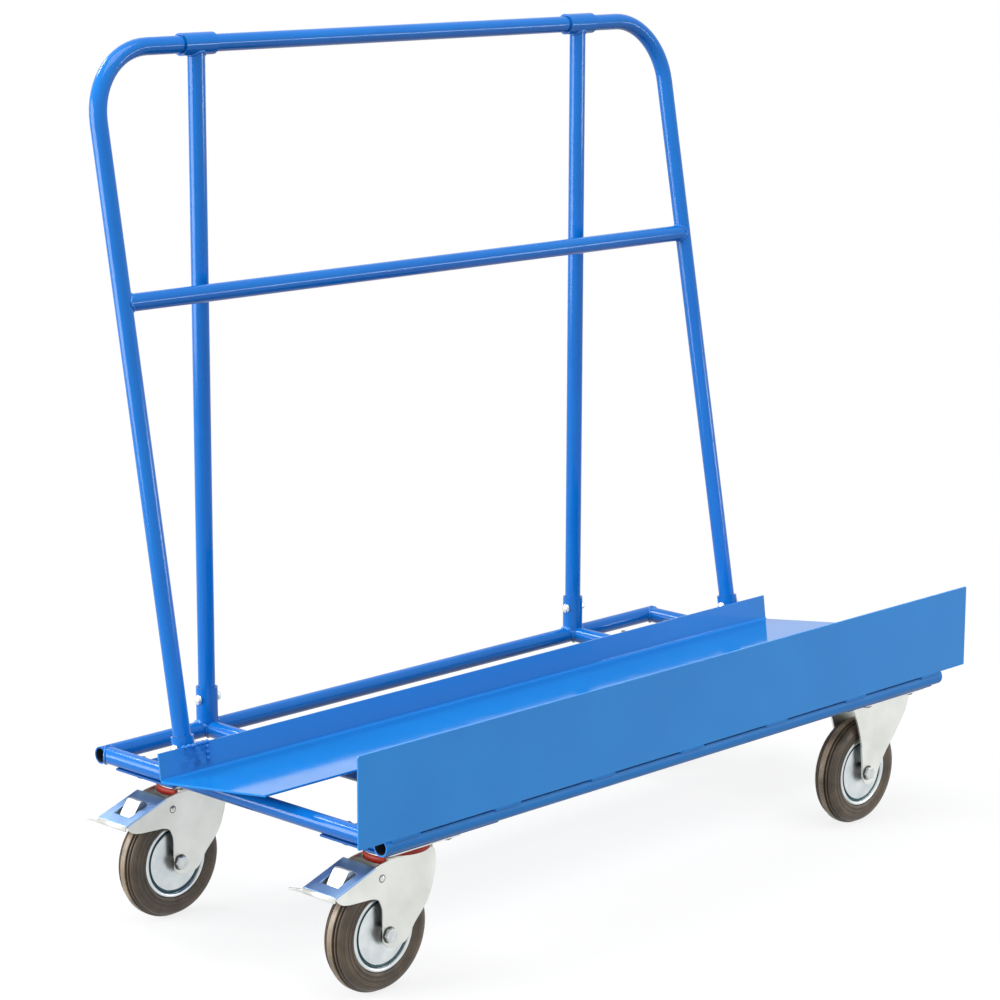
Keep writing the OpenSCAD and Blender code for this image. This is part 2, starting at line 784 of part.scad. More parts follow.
axle_bolt(-1, front_caster_y);  // front_left_axle_bolt
axle_bolt(-1, rear_caster_y);  // rear_left_axle_bolt
axle_bolt(1, front_caster_y);  // front_right_axle_bolt
axle_bolt(1, rear_caster_y);  // rear_right_axle_bolt
axle_nut(-1, front_caster_y);  // front_left_axle_nut
axle_nut(-1, rear_caster_y);  // rear_left_axle_nut
axle_nut(1, front_caster_y);  // front_right_axle_nut
axle_nut(1, rear_caster_y);  // rear_right_axle_nut
tyre(-1, front_caster_y);  // front_left_tyre
tyre(-1, rear_caster_y);  // rear_left_tyre
tyre(1, front_caster_y);  // front_right_tyre
tyre(1, rear_caster_y);  // rear_right_tyre
rim(-1, front_caster_y);  // front_left_rim
rim(-1, rear_caster_y);  // rear_left_rim
rim(1, front_caster_y);  // front_right_rim
rim(1, rear_caster_y);  // rear_right_rim
hub(-1, front_caster_y);  // front_left_hub
hub(-1, rear_caster_y);  // rear_left_hub
hub(1, front_caster_y);  // front_right_hub
hub(1, rear_caster_y);  // rear_right_hub
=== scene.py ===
# Looks of a drywall cart: a blue welded tube frame with a folded tray, a low front plate and a leaning
# back hoop, on two braked swivel casters at the left and two fixed casters at the right.
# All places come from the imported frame, in metres: X along the cart, Y to its back, Z up from the floor.
import json
import math

import bmesh
import bpy
from mathutils import Matrix, Vector


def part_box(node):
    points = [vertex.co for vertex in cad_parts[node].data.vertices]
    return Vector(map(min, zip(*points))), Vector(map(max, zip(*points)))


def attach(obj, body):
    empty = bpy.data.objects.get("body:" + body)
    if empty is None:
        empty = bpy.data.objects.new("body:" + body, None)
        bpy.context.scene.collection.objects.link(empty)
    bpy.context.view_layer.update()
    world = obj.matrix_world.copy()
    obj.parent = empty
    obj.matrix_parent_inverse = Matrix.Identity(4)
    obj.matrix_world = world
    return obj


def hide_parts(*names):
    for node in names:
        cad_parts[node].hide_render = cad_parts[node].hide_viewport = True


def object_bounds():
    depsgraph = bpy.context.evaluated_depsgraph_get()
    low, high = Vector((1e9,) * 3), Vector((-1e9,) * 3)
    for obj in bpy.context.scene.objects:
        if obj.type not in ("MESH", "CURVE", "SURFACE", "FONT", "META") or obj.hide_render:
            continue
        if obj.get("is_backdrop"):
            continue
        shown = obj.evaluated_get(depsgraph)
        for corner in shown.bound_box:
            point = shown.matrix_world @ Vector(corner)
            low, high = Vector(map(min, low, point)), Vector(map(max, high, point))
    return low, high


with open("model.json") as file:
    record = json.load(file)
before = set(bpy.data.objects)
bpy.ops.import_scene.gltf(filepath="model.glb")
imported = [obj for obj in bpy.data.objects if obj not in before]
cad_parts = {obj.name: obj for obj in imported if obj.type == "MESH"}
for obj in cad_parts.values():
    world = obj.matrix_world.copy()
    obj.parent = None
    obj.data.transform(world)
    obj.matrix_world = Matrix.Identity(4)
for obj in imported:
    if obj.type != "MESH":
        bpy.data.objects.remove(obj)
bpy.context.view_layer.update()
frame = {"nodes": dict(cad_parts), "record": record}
scene = bpy.context.scene


# The view: a long lens at the left of the front plate, a little above the middle of the back frame.
# It is placed from the rear base tube, so it keeps its view of the frame if the wheels change.
view_at = Vector((-3.1958, -3.3061, 1.2447))
view_yaw = math.radians(45.937)
view_pitch = math.radians(11.831)
view_roll = math.radians(0.205)
view_lens = 110.47
view_far = 50.0
sensor = 36.0

rear_low, rear_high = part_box("rear_tube")
front_low, front_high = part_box("front_tube")
tube_r = (rear_high.z - rear_low.z) / 2
rear_y = (rear_high.y + rear_low.y) / 2
front_y = (front_high.y + front_low.y) / 2
base_z = (rear_high.z + rear_low.z) / 2

ahead = Vector((math.sin(view_yaw) * math.cos(view_pitch), math.cos(view_yaw) * math.cos(view_pitch),
                -math.sin(view_pitch)))
level = Vector((math.cos(view_yaw), -math.sin(view_yaw), 0.0))
above = level.cross(ahead)
right = level * math.cos(view_roll) + above * math.sin(view_roll)
upward = above * math.cos(view_roll) - level * math.sin(view_roll)
stand = Matrix((right, upward, -ahead)).transposed().to_4x4()
stand.translation = view_at + Vector((0.0, rear_y, base_z))
lens = bpy.data.cameras.new("photo_view")
lens.sensor_width = sensor
lens.lens = view_lens
lens.clip_end = view_far
camera = bpy.data.objects.new("photo_view", lens)
camera.matrix_world = stand
scene.collection.objects.link(camera)
scene.camera = camera


# The studio: a wide white floor and a white surround that the paint and the zinc mirror. The surround is
# brightest at the front. A broad soft lamp stands low at the back left and one hangs overhead, with a low
# strip at the front right and a small lamp behind.
floor_half = 14.0
floor_near, floor_far = 1.1, 2.4
floor_glow = 0.82
floor_tone = (0.95, 0.95, 0.95, 1.0)
floor_shade = (0.09, 0.09, 0.095, 1.0)
white_tone = (1.0, 1.0, 1.0, 1.0)
fill_tone = (0.96, 0.98, 1.0, 1.0)
fill_low, fill_high = 0.22, 1.22
fill_back, fill_front = -0.3, 0.9
fill_from = Vector((-0.35, -0.9, 0.25)).normalized()
lamps = [
    ("left_lamp", (-3.7, 2.0, 1.25), 3.0, 2.3, 185.0),
    ("top_lamp", (-0.4, -0.5, 3.8), 2.6, 1.6, 62.0),
    ("strip_lamp", (3.1, -3.3, 0.86), 1.7, 0.52, 30.0),
    ("back_lamp", (-0.9, 3.2, 3.3), 1.3, 0.5, 44.0),
]
lamp_aim = Vector((0.0, 0.0, 0.55))


def add(tree, kind, inputs=(), **settings):
    """A node in a tree: each input is a plain value, or the socket that feeds it."""
    made = tree.nodes.new(kind)
    for key, value in settings.items():
        setattr(made, key, value)
    for key, value in dict(inputs).items():
        if isinstance(value, bpy.types.NodeSocket):
            tree.links.new(value, made.inputs[key])
        else:
            made.inputs[key].default_value = value
    return made


def reckon(tree, operation, *values, **settings):
    """The result of a sum, a product or the like, on plain values or sockets."""
    return add(tree, "ShaderNodeMath", enumerate(values), operation=operation, **settings).outputs[0]


def ranged(tree, value, low, high, first=0.0, last=1.0, **settings):
    """A value, taken from the range low to high to the range first to last."""
    made = add(tree, "ShaderNodeMapRange", {"Value": value, "From Min": low, "From Max": high,
                                            "To Min": first, "To Max": last}, **settings)
    return made.outputs["Result"]


def sees_background(tree):
    """1 for the rays that show the white surround as it is, 0 for the rays that light the object."""
    path = add(tree, "ShaderNodeLightPath").outputs
    seen = reckon(tree, "MAXIMUM", path["Is Camera Ray"], path["Is Glossy Ray"])
    return reckon(tree, "MAXIMUM", seen, path["Is Transmission Ray"])


def oblong(left, right, low, high):
    """The four corners of an oblong."""
    return [(left, low), (right, low), (right, high), (left, high)]


scene.view_settings.view_transform = "Standard"
surround = bpy.data.worlds.new("white_surround")
surround.use_nodes = True
tree = surround.node_tree
tree.nodes.clear()
way = add(tree, "ShaderNodeTexCoord").outputs["Generated"]
front = add(tree, "ShaderNodeVectorMath", {0: way, 1: fill_from}, operation="DOT_PRODUCT").outputs["Value"]
strength = ranged(tree, front, fill_back, fill_front, fill_low, fill_high)
fill = add(tree, "ShaderNodeBackground", {"Color": fill_tone, "Strength": strength})
white = add(tree, "ShaderNodeBackground", {"Color": white_tone, "Strength": 1.0})
both = add(tree, "ShaderNodeMixShader", {0: sees_background(tree), 1: fill.outputs[0], 2: white.outputs[0]})
add(tree, "ShaderNodeOutputWorld", {"Surface": both.outputs[0]})
scene.world = surround

pale_floor = bpy.data.materials.new("pale_floor")
pale_floor.use_nodes = True
tree = pale_floor.node_tree
tree.nodes.clear()
lit = add(tree, "ShaderNodeBsdfDiffuse", {"Color": floor_tone})
dull = add(tree, "ShaderNodeBsdfDiffuse", {"Color": floor_shade})
glow = add(tree, "ShaderNodeEmission", {"Color": white_tone, "Strength": 1.0})
spot = add(tree, "ShaderNodeTexCoord").outputs["Object"]
away = add(tree, "ShaderNodeVectorMath", {0: spot}, operation="LENGTH").outputs["Value"]
paler = ranged(tree, away, floor_near, floor_far, floor_glow, 1.0, interpolation_type="SMOOTHSTEP")
shown = add(tree, "ShaderNodeMixShader", {0: paler, 1: lit.outputs[0], 2: glow.outputs[0]})
both = add(tree, "ShaderNodeMixShader", {0: sees_background(tree), 1: dull.outputs[0], 2: shown.outputs[0]})
add(tree, "ShaderNodeOutputMaterial", {"Surface": both.outputs[0]})
floor_mesh = bpy.data.meshes.new("floor")
floor_corners = oblong(-floor_half, floor_half, -floor_half, floor_half)
floor_mesh.from_pydata([(x, y, 0.0) for x, y in floor_corners], [], [(0, 1, 2, 3)])
floor_mesh.materials.append(pale_floor)
floor = bpy.data.objects.new("floor", floor_mesh)
scene.collection.objects.link(floor)
floor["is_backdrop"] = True

for name, place, wide, tall, power in lamps:
    light = bpy.data.lights.new(name, "AREA")
    light.shape = "RECTANGLE"
    light.size = wide
    light.size_y = tall
    light.energy = power
    lamp = bpy.data.objects.new(name, light)
    lamp.location = place
    lamp.rotation_euler = (lamp_aim - Vector(place)).to_track_quat("-Z", "Y").to_euler()
    scene.collection.objects.link(lamp)


# Base frame and back frame tubes: 25 mm steel tube, bent or cut to length, welded and sprayed with a
# glossy blue powder coat. The paint is a little uneven in tone and has a fine orange-peel skin.
blue = (0.004, 0.135, 0.5, 1.0)
dust_tone = (0.6, 0.72, 0.85, 1.0)
dust_from, dust_to = 0.7, 0.76
dust_grain = 420.0
coat_clouds = 7.0
coat_smears = 30.0
peel_fine, peel_broad = 260.0, 14.0
coat_depth = 0.0006
tube_nodes = ["rear_tube", "front_tube", "left_end_tube", "right_end_tube", "left_cross_tube",
              "right_cross_tube", "hoop", "mid_rail", "left_upright", "right_upright"]


def skin_group(name, inputs):
    """An empty shader group for a skin, with named inputs, each with its kind and value."""
    group = bpy.data.node_groups.new(name, "ShaderNodeTree")
    for label, kind, value in inputs:
        group.interface.new_socket(label, in_out="INPUT", socket_type=kind).default_value = value
    for label, kind in (("Color", "NodeSocketColor"), ("Roughness", "NodeSocketFloat"),
                        ("Height", "NodeSocketFloat")):
        group.interface.new_socket(label, in_out="OUTPUT", socket_type=kind)
    return group, group.nodes.new("NodeGroupInput"), group.nodes.new("NodeGroupOutput")


def put_out(group, result, tone, rough, height):
    """Links what a skin group puts out."""
    for label, socket in (("Color", tone), ("Roughness", rough), ("Height", height)):
        group.links.new(socket, result.inputs[label])


def noise(tree, scale, detail=3.0):
    """A grey noise on the piece's own coordinates, in features per metre."""
    where = add(tree, "ShaderNodeTexCoord").outputs["Object"]
    return add(tree, "ShaderNodeTexNoise", {"Vector": where, "Scale": scale, "Detail": detail}).outputs["Fac"]


def spread(tree, value, low, high):
    """A 0 to 1 noise, taken from its middle half, as a value between two ends."""
    return ranged(tree, value, 0.25, 0.75, low, high)


def tinted(tree, factor, first, second):
    """A colour between two colours."""
    return add(tree, "ShaderNodeMix", {0: factor, 6: first, 7: second}, data_type="RGBA").outputs[2]


powder_coat, given, result = skin_group("Powder coat", [
    ("Colour", "NodeSocketColor", blue), ("Deep colour", "NodeSocketColor", blue),
    ("Gloss", "NodeSocketFloat", 0.2), ("Dust", "NodeSocketFloat", 0.03)])
cloud = spread(powder_coat, noise(powder_coat, coat_clouds), 0.0, 1.0)
tone = tinted(powder_coat, cloud, given.outputs["Deep colour"], given.outputs["Colour"])
speck = ranged(powder_coat, noise(powder_coat, dust_grain, 1.0), dust_from, dust_to)
speck = reckon(powder_coat, "MULTIPLY", speck, given.outputs["Dust"])
smear = spread(powder_coat, noise(powder_coat, coat_smears), -0.03, 0.05)
rough = reckon(powder_coat, "ADD", smear, given.outputs["Gloss"])
peel = reckon(powder_coat, "ADD", noise(powder_coat, peel_fine, 1.0), noise(powder_coat, peel_broad, 1.0))
put_out(powder_coat, result, tinted(powder_coat, speck, tone, dust_tone), rough, peel)


def finish(name, group, values, metallic, bump, depth, specular=0.5):
    """A material whose colour, roughness and bump come from one group, with these values set on it."""
    made = bpy.data.materials.new(name)
    made.use_nodes = True
    tree = made.node_tree
    shader = tree.nodes["Principled BSDF"]
    skin = add(tree, "ShaderNodeGroup", node_tree=group)
    for key, value in values.items():
        skin.inputs[key].default_value = value
    raised = add(tree, "ShaderNodeBump", {"Strength": bump, "Distance": depth,
                                          "Height": skin.outputs["Height"]})
    tree.links.new(skin.outputs["Color"], shader.inputs["Base Color"])
    tree.links.new(skin.outputs["Roughness"], shader.inputs["Roughness"])
    tree.links.new(raised.outputs["Normal"], shader.inputs["Normal"])
    shader.inputs["Metallic"].default_value = metallic
    shader.inputs["Specular IOR Level"].default_value = specular
    return made


def sprayed(name, colour, deep, gloss, dust, sheen, bump=0.05):
    """A blue powder coat: its two tones, how dull and dusty it is, its sheen and its orange peel."""
    return finish(name, powder_coat, {"Colour": colour, "Deep colour": deep, "Gloss": gloss, "Dust": dust},
                  0.0, bump, coat_depth, sheen)


def dress(node, material):
    """Gives a CAD node its finish."""
    for place in frame["nodes"][node].material_slots:
        place.material = material


tube_blue = sprayed("tube_blue", (0.004, 0.16, 0.55, 1.0), blue, gloss=0.11, dust=0.05, sheen=0.24)
# The front tube's blue is lighter than the other tubes': painted light on its lit front.
front_blue = sprayed("front_blue", (0.02, 0.23, 0.66, 1.0), (0.016, 0.21, 0.62, 1.0),
                     gloss=0.42, dust=0.05, sheen=0.25)
for node in tube_nodes:
    dress(node, front_blue if node == "front_tube" else tube_blue)


# Pads and wedges: flat bars under the end and cross tubes that the casters bolt to, and cut wedges that
# carry the tray's front half. They are sprayed with the frame, in a darker blue that is painted shade under
# it.
pad_blue = sprayed("pad_blue", (0.014, 0.13, 0.45, 1.0), (0.01, 0.09, 0.33, 1.0),
                   gloss=0.3, dust=0.06, sheen=0.4, bump=0.1)
for node in ("caster_pads", "tray_wedges"):
    dress(node, pad_blue)


# Tray: one steel sheet folded once, tilted back on the base tubes, so that boards lean on the hoop.
# Its fold has a small radius and its cut edges are broken. Its blue is lighter than the tubes', painted light
# on its lit floor, and its flange is paler still, a painted sheen. The flange is darker in patches near the
# hoop's left foot.
tray_wide = 0.216
tray_flange = 0.042
tray_sheet = 0.003
tray_spans = 24
fold_r = 0.0055
fold_steps = 8
edge_break = 0.0006
flange_sheen_tone = (0.04, 0.235, 0.6, 1.0)
flange_from, flange_to = 0.005, 0.01
foot_dark_tone = (0.004, 0.075, 0.3, 1.0)
foot_dark_near, foot_dark_far = 0.006, 0.042
foot_dark_most = 0.85
foot_dark_patches = 95.0
tray_low, tray_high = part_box("tray")
tray_mount = next(m for m in frame["record"]["mounts"] if m["name"] == "tray_floor")
tray_up = Vector(tray_mount["axis"]).normalized()
tray_back = Vector((0.0, tray_up.z, -tray_up.y))
fold_at = Vector(tray_mount["pos_m"]) + tray_back * tray_wide / 2 - tray_up * tray_sheet
half_sheet = tray_sheet / 2
end_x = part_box("hoop")[1].x - tube_r


def settle(made):
    """Applies what is still live on an object, so that it is a plain mesh."""
    seen = made.evaluated_get(bpy.context.evaluated_depsgraph_get())
    plain = bpy.data.meshes.new_from_object(seen)
    plain.name = made.name
    made.modifiers.clear()
    made.data = plain
    return made


def rounded_solid(name, points, faces, edge=0.0, rounds=2, sharp=35.0, thick=0.0):
    """A closed piece from points and faces, or a sheet given its thickness, with its edges broken."""
    mesh = bpy.data.meshes.new(name)
    mesh.from_pydata([tuple(p) for p in points], [], faces)
    shell = bmesh.new()
    shell.from_mesh(mesh)
    bmesh.ops.remove_doubles(shell, verts=shell.verts, dist=1e-6)
    bmesh.ops.recalc_face_normals(shell, faces=shell.faces)
    for face in shell.faces:
        face.smooth = True
    shell.to_mesh(mesh)
    shell.free()
    made = bpy.data.objects.new(name, mesh)
    scene.collection.objects.link(made)
    if thick:
        wall = made.modifiers.new("Wall", "SOLIDIFY")
        wall.thickness = thick
        wall.offset = 0.0
    if edge:
        broken = made.modifiers.new("Broken edges", "BEVEL")
        broken.width = edge
        broken.segments = rounds
        broken.limit_method = "ANGLE"
        broken.angle_limit = math.radians(sharp)
        made.modifiers.new("True flats", "WEIGHTED_NORMAL")
    else:
        mesh.set_sharp_from_angle(angle=math.radians(sharp))
    return settle(made)


def bent_sheet(name, line, rows, thick, edge, where, cut=None):
    """A sheet that follows a line, as wide as its rows: cut says which cells are left out."""
    points = [where(row, *spot) for spot in line for row in rows]
    wide = len(rows)
    faces = [(i * wide + j, i * wide + j + 1, (i + 1) * wide + j + 1, (i + 1) * wide + j)
             for i in range(len(line) - 1) for j in range(wide - 1) if not (cut and cut(i, j))]
    return rounded_solid(name, points, faces, edge, thick=thick)


def arc(centre, radius, start, end, steps):
    """Points on a round, from one angle in degrees to another."""
    turns = [math.radians(start + (end - start) * i / steps) for i in range(steps + 1)]
    return [(centre[0] + radius * math.cos(t), centre[1] + radius * math.sin(t)) for t in turns]


def fit(made, body, slot, material=None, *nodes):
    """Gives a finished piece its material and body, and hides the nodes that it stands for. The slot is not
    used.
    """
    if material:
        made.data.materials.clear()
        made.data.materials.append(material)
    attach(made, body)
    if nodes:
        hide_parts(*nodes)
    return made


def in_tray(row, along, up):
    """A point of the tray, from the corner under its fold: along its floor to the back, and square to it."""
    return Vector((row, fold_at.y, fold_at.z)) + tray_back * along + tray_up * up


tray_line = [(-tray_wide, half_sheet), (-tray_wide / 2, half_sheet)]
tray_line += arc((-half_sheet - fold_r, half_sheet + fold_r), fold_r, -90.0, 0.0, fold_steps)
tray_line += [(-half_sheet, tray_flange)]
tray_rows = [tray_low.x + (tray_high.x - tray_low.x) * i / tray_spans for i in range(tray_spans + 1)]
tray = bent_sheet("folded_tray", tray_line, tray_rows, tray_sheet, edge_break, in_tray)

# The tray's blue is lighter than the tubes': painted light on its lit floor.
tray_blue = sprayed("tray_blue", (0.006, 0.215, 0.66, 1.0), (0.005, 0.2, 0.62, 1.0),
                    gloss=0.08, dust=0.04, sheen=0.2, bump=0.02)
tree = tray_blue.node_tree
shader = tree.nodes["Principled BSDF"]
where = add(tree, "ShaderNodeTexCoord").outputs["Object"]
high = add(tree, "ShaderNodeVectorMath", {0: where, 1: tray_up}, operation="DOT_PRODUCT").outputs["Value"]
fold_level = fold_at.dot(tray_up)
# The flange is painted paler than the floor: a painted sheen.
flange = ranged(tree, high, fold_level + flange_from, fold_level + flange_to)
# The flange is darker in patches near the hoop's left foot.
beside = add(tree, "ShaderNodeSeparateXYZ", {0: where}).outputs["X"]
beside = reckon(tree, "ABSOLUTE", reckon(tree, "ADD", beside, end_x))
beside = ranged(tree, beside, foot_dark_near, foot_dark_far, foot_dark_most, 0.0, interpolation_type="SMOOTHSTEP")
patchy = spread(tree, noise(tree, foot_dark_patches, 5.0), -0.1, 1.0)
foot_dark = reckon(tree, "MULTIPLY", reckon(tree, "MULTIPLY", beside, patchy, use_clamp=True), flange)
tone = tinted(tree, flange, shader.inputs["Base Color"].links[0].from_socket, flange_sheen_tone)
tree.links.new(tinted(tree, foot_dark, tone, foot_dark_tone), shader.inputs["Base Color"])
fit(tray, "frame", "blue_paint", tray_blue, "tray")


# Front plate: a flat strip with small round corners that stands on the front tube and keeps the boards
# from sliding off. It is stitched to the tube along its lower edge, and its edges are broken.
plate_low, plate_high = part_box("front_plate")
plate_corner = 0.0025
plate_sheet = plate_high.y - plate_low.y


def rounded(corners, radius, steps=5):
    """A closed outline through these corners, each eased by this radius or by just under half a side."""
    outline = []
    most_share = 0.49
    for i, spot in enumerate(corners):
        spot = Vector(spot)
        before = Vector(corners[i - 1]) - spot
        after = Vector(corners[(i + 1) % len(corners)]) - spot
        start = spot + before.normalized() * min(radius, before.length * most_share)
        end = spot + after.normalized() * min(radius, after.length * most_share)
        for k in range(steps + 1):
            t = k / steps
            outline.append((start * (1 - t) + spot * t) * (1 - t) + (spot * (1 - t) + end * t) * t)
    return outline


def flat_piece(name, outline, thick, edge, where, rounds=2):
    """A flat piece from a closed outline, with its thickness along the third direction."""
    count = len(outline)
    points = [where(p[0], p[1], side) for side in (0.0, thick) for p in outline]
    faces = [tuple(range(count - 1, -1, -1)), tuple(range(count, 2 * count))]
    faces += [(i, (i + 1) % count, count + (i + 1) % count, count + i) for i in range(count)]
    return rounded_solid(name, points, faces, edge, rounds)


plate_outline = rounded(oblong(plate_low.x, plate_high.x, plate_low.z, plate_high.z), plate_corner)
plate = flat_piece("front_strip", plate_outline, plate_sheet, edge_break,
                   lambda x, z, deep: Vector((x, plate_low.y + deep, z)))
# The plate's blue is lighter than the tubes': painted light on its front face.
plate_blue = sprayed("plate_blue", (0.0125, 0.273, 0.765, 1.0), (0.0105, 0.243, 0.7, 1.0),
                     gloss=0.2, dust=0.03, sheen=0.4)
fit(plate, "frame", "blue_paint", plate_blue, "front_plate")


# Sockets and tees: short sleeves of 32 mm tube, coped and welded on the base tubes for the uprights and
# the hoop's feet, and sleeves round the top rail over the uprights. Their mouths have a rounded rim.
rim_r = 0.0012
socket_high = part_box("upright_sockets")[1]
socket_r = socket_high.y - rear_y
upright_x = socket_high.x - socket_r
tee_low, tee_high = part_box("rail_tees")
top_z = (tee_low.z + tee_high.z) / 2
tee_half = tee_high.x - upright_x
leg_low, leg_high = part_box("leg_sockets")
leg_lean = math.atan2(rear_y - (leg_low.y + leg_high.y) / 2, top_z - (leg_low.z + leg_high.z) / 2)
leg_mouth = (top_z - leg_high.z) / math.cos(leg_lean) + socket_r * math.tan(leg_lean)
for node in ("upright_sockets", "leg_sockets", "rail_tees"):
    dress(node, tube_blue)


def turned(name, outline, where, steps=48, sharp=40.0):
    """A round piece from a closed outline in radius and along, put in its place by where."""
    count = len(outline)
    points = []
    for i in range(steps):
        turn = 2 * math.pi * i / steps
        points += [where(r * math.cos(turn), r * math.sin(turn), along) for r, along in outline]
    faces = [(i * count + j, i * count + (j + 1) % count, (i + 1) % steps * count + (j + 1) % count,
              (i + 1) % steps * count + j) for i in range(steps) for j in range(count)]
    return rounded_solid(name, points, faces, sharp=sharp)


def joined(name, parts):
    """Several meshes as one piece."""
    with bpy.context.temp_override(active_object=parts[0], selected_editable_objects=parts):
        bpy.ops.object.join()
    parts[0].name = name
    parts[0].data.name = name
    return parts[0]


def in_hoop(x, out, down):
    """A point of the leaning hoop: out square to its plane, to the back, and down along its legs."""
    return Vector((x, rear_y + out * math.cos(leg_lean) - down * math.sin(leg_lean),
                   top_z - out * math.sin(leg_lean) - down * math.cos(leg_lean)))


def at_mouths(name, outline):
    """A ring at each socket's mouth and at both ends of each tee, from an outline in radius and out."""
    rings = []
    for side in (-1, 1):
        x = side * upright_x
        rings.append(turned(name, outline, lambda u, v, w: Vector((x + u, rear_y + v, socket_high.z + w))))
        rings.append(turned(name, outline, lambda u, v, w: in_hoop(side * end_x + u, v, leg_mouth - w)))
        for end in (-1, 1):
            rings.append(turned(name, outline, lambda u, v, w: Vector((
                x + end * (tee_half + w), rear_y + u, top_z + v))))
    return rings


lip = [(socket_r + r, out) for r, out in arc((-rim_r, -rim_r), rim_r, 0.0, 330.0, 11)]
fit(joined("sleeve_rims", at_mouths("rim", lip)), "frame", "blue_paint", tube_blue)


# Open ends: the base tubes are open and bare inside, lined near-black as oily steel with painted shade down
# the bore, and a fine dark ring of painted shadow shows round each tube where it goes into a socket or a tee.
bore_r = tube_r - 0.002
bore_from, bore_to = 0.0004, 0.08
liner_in, liner_out = bore_r - 0.0004, bore_r - 0.00005
gap_shadow_in, gap_shadow_out = tube_r - 0.0003, tube_r + 0.0007
gap_shadow_low, gap_shadow_high = -0.0002, 0.0001
oil_and_shade_dark = (0.006, 0.008, 0.014, 1.0)
oil_and_shade_pale = (0.03, 0.03, 0.036, 1.0)
oil_and_shade_clouds = 90.0
oil_smears = 240.0
# Near-black liners and thin dark rings: painted shade down the bores and painted shadow at the mouths.
bore_dark = bpy.data.materials.new("bore_dark")
bore_dark.use_nodes = True
tree = bore_dark.node_tree
shader = tree.nodes["Principled BSDF"]
tree.links.new(tinted(tree, noise(tree, oil_and_shade_clouds), oil_and_shade_dark, oil_and_shade_pale), shader.inputs["Base Color"])
tree.links.new(spread(tree, noise(tree, oil_smears), 0.5, 0.75), shader.inputs["Roughness"])
liner = oblong(liner_in, liner_out, bore_from, bore_to)
shaded_bores = [turned("bore", liner, lambda u, v, w: Vector((side * (high.x - w), y + u, base_z + v)))
         for side in (-1, 1) for y, high in ((front_y, front_high), (rear_y, rear_high))]
shaded_bores += at_mouths("gap", oblong(gap_shadow_in, gap_shadow_out, gap_shadow_low, gap_shadow_high))
fit(joined("open_ends", shaded_bores), "frame", "dark_steel", bore_dark)


# Weld beads: rippled runs round every joint of the tubes, sockets, tees and pads, and seven stitches under
# the front plate, with flat toes, and a navy strip of painted shadow between each two. They were laid by
# hand, so they wander a little, and they are under the paint. The flange is lumpy at the hoop's left foot.
run_share = 1.02
reach_share = 1.06
sleeve_share = 1.03
saddle_share = 0.4
bury = 0.004
pad_low, pad_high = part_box("caster_pads")
pad_wide = 0.124
pad_run_share = 0.62
pad_run_end = 0.004
pad_run_drop = 0.0012
tray_run_half = 0.02
tray_run_in = 0.001
flange_run_x = 0.011
flange_run_low, flange_run_top = 0.01, 0.003
flange_run_out = (0.0025, 0.0035)
lump_drop = 0.001
lump_places = (-0.02, 0.0, 0.026)
drip_x = 0.021
drip_heights = (0.016, 0.028, 0.038)
bead_parts = 6.0
bead_sides = 10
bead_share = 0.9
hand_waves = 160.0
cross_x = upright_x
mid_low, mid_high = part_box("mid_rail")
mid_drop = (top_z - (mid_low.z + mid_high.z) / 2) / math.cos(leg_lean)
foot_drop = (top_z - base_z) / math.cos(leg_lean)
stitch_low, stitch_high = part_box("plate_welds")
stitch_count = 7
stitch_long = 0.047
stitch_r = 0.0034
stitch_in = stitch_r * 1.3
stitch_drop = 0.0004
toe_lap = 0.0004
toe_deep = 0.0034
toe_in = 0.00015
shadow_strip_deep = 0.0016
shadow_strip_in = 0.0004
shadow_strip_end = 0.004
seam_t = 0.004


def geometry_tree(name, inputs):
    """An empty geometry tree with named inputs, each with its kind."""
    tree = bpy.data.node_groups.new(name, "GeometryNodeTree")
    tree.interface.new_socket("Geometry", in_out="INPUT", socket_type="NodeSocketGeometry")
    for label, kind in inputs:
        tree.interface.new_socket(label, in_out="INPUT", socket_type=kind)
    tree.interface.new_socket("Geometry", in_out="OUTPUT", socket_type="NodeSocketGeometry")
    return tree, tree.nodes.new("NodeGroupInput"), tree.nodes.new("NodeGroupOutput")


def end_tree(tree, result, shape, material):
    """Ends a geometry tree: what it made becomes real and gets its material."""
    shape = add(tree, "GeometryNodeRealizeInstances", {"Geometry": shape.outputs[0]})
    shape = add(tree, "GeometryNodeSetMaterial", {"Geometry": shape.outputs[0], "Material": material})
    tree.links.new(shape.outputs[0], result.inputs[0])


def grown(name, points, edges, faces, tree, values):
    """Runs a tree on a small mesh, with these values on its inputs, and keeps the result as a plain mesh."""
    mesh = bpy.data.meshes.new(name)
    mesh.from_pydata([tuple(p) for p in points], edges, faces)
    made = bpy.data.objects.new(name, mesh)
    scene.collection.objects.link(made)
    step = made.modifiers.new(tree.name, "NODES")
    step.node_group = tree
    for item in tree.interface.items_tree:
        if item.item_type == "SOCKET" and item.in_out == "INPUT" and item.name in values:
            step[item.identifier] = values[item.name]
    return settle(made)


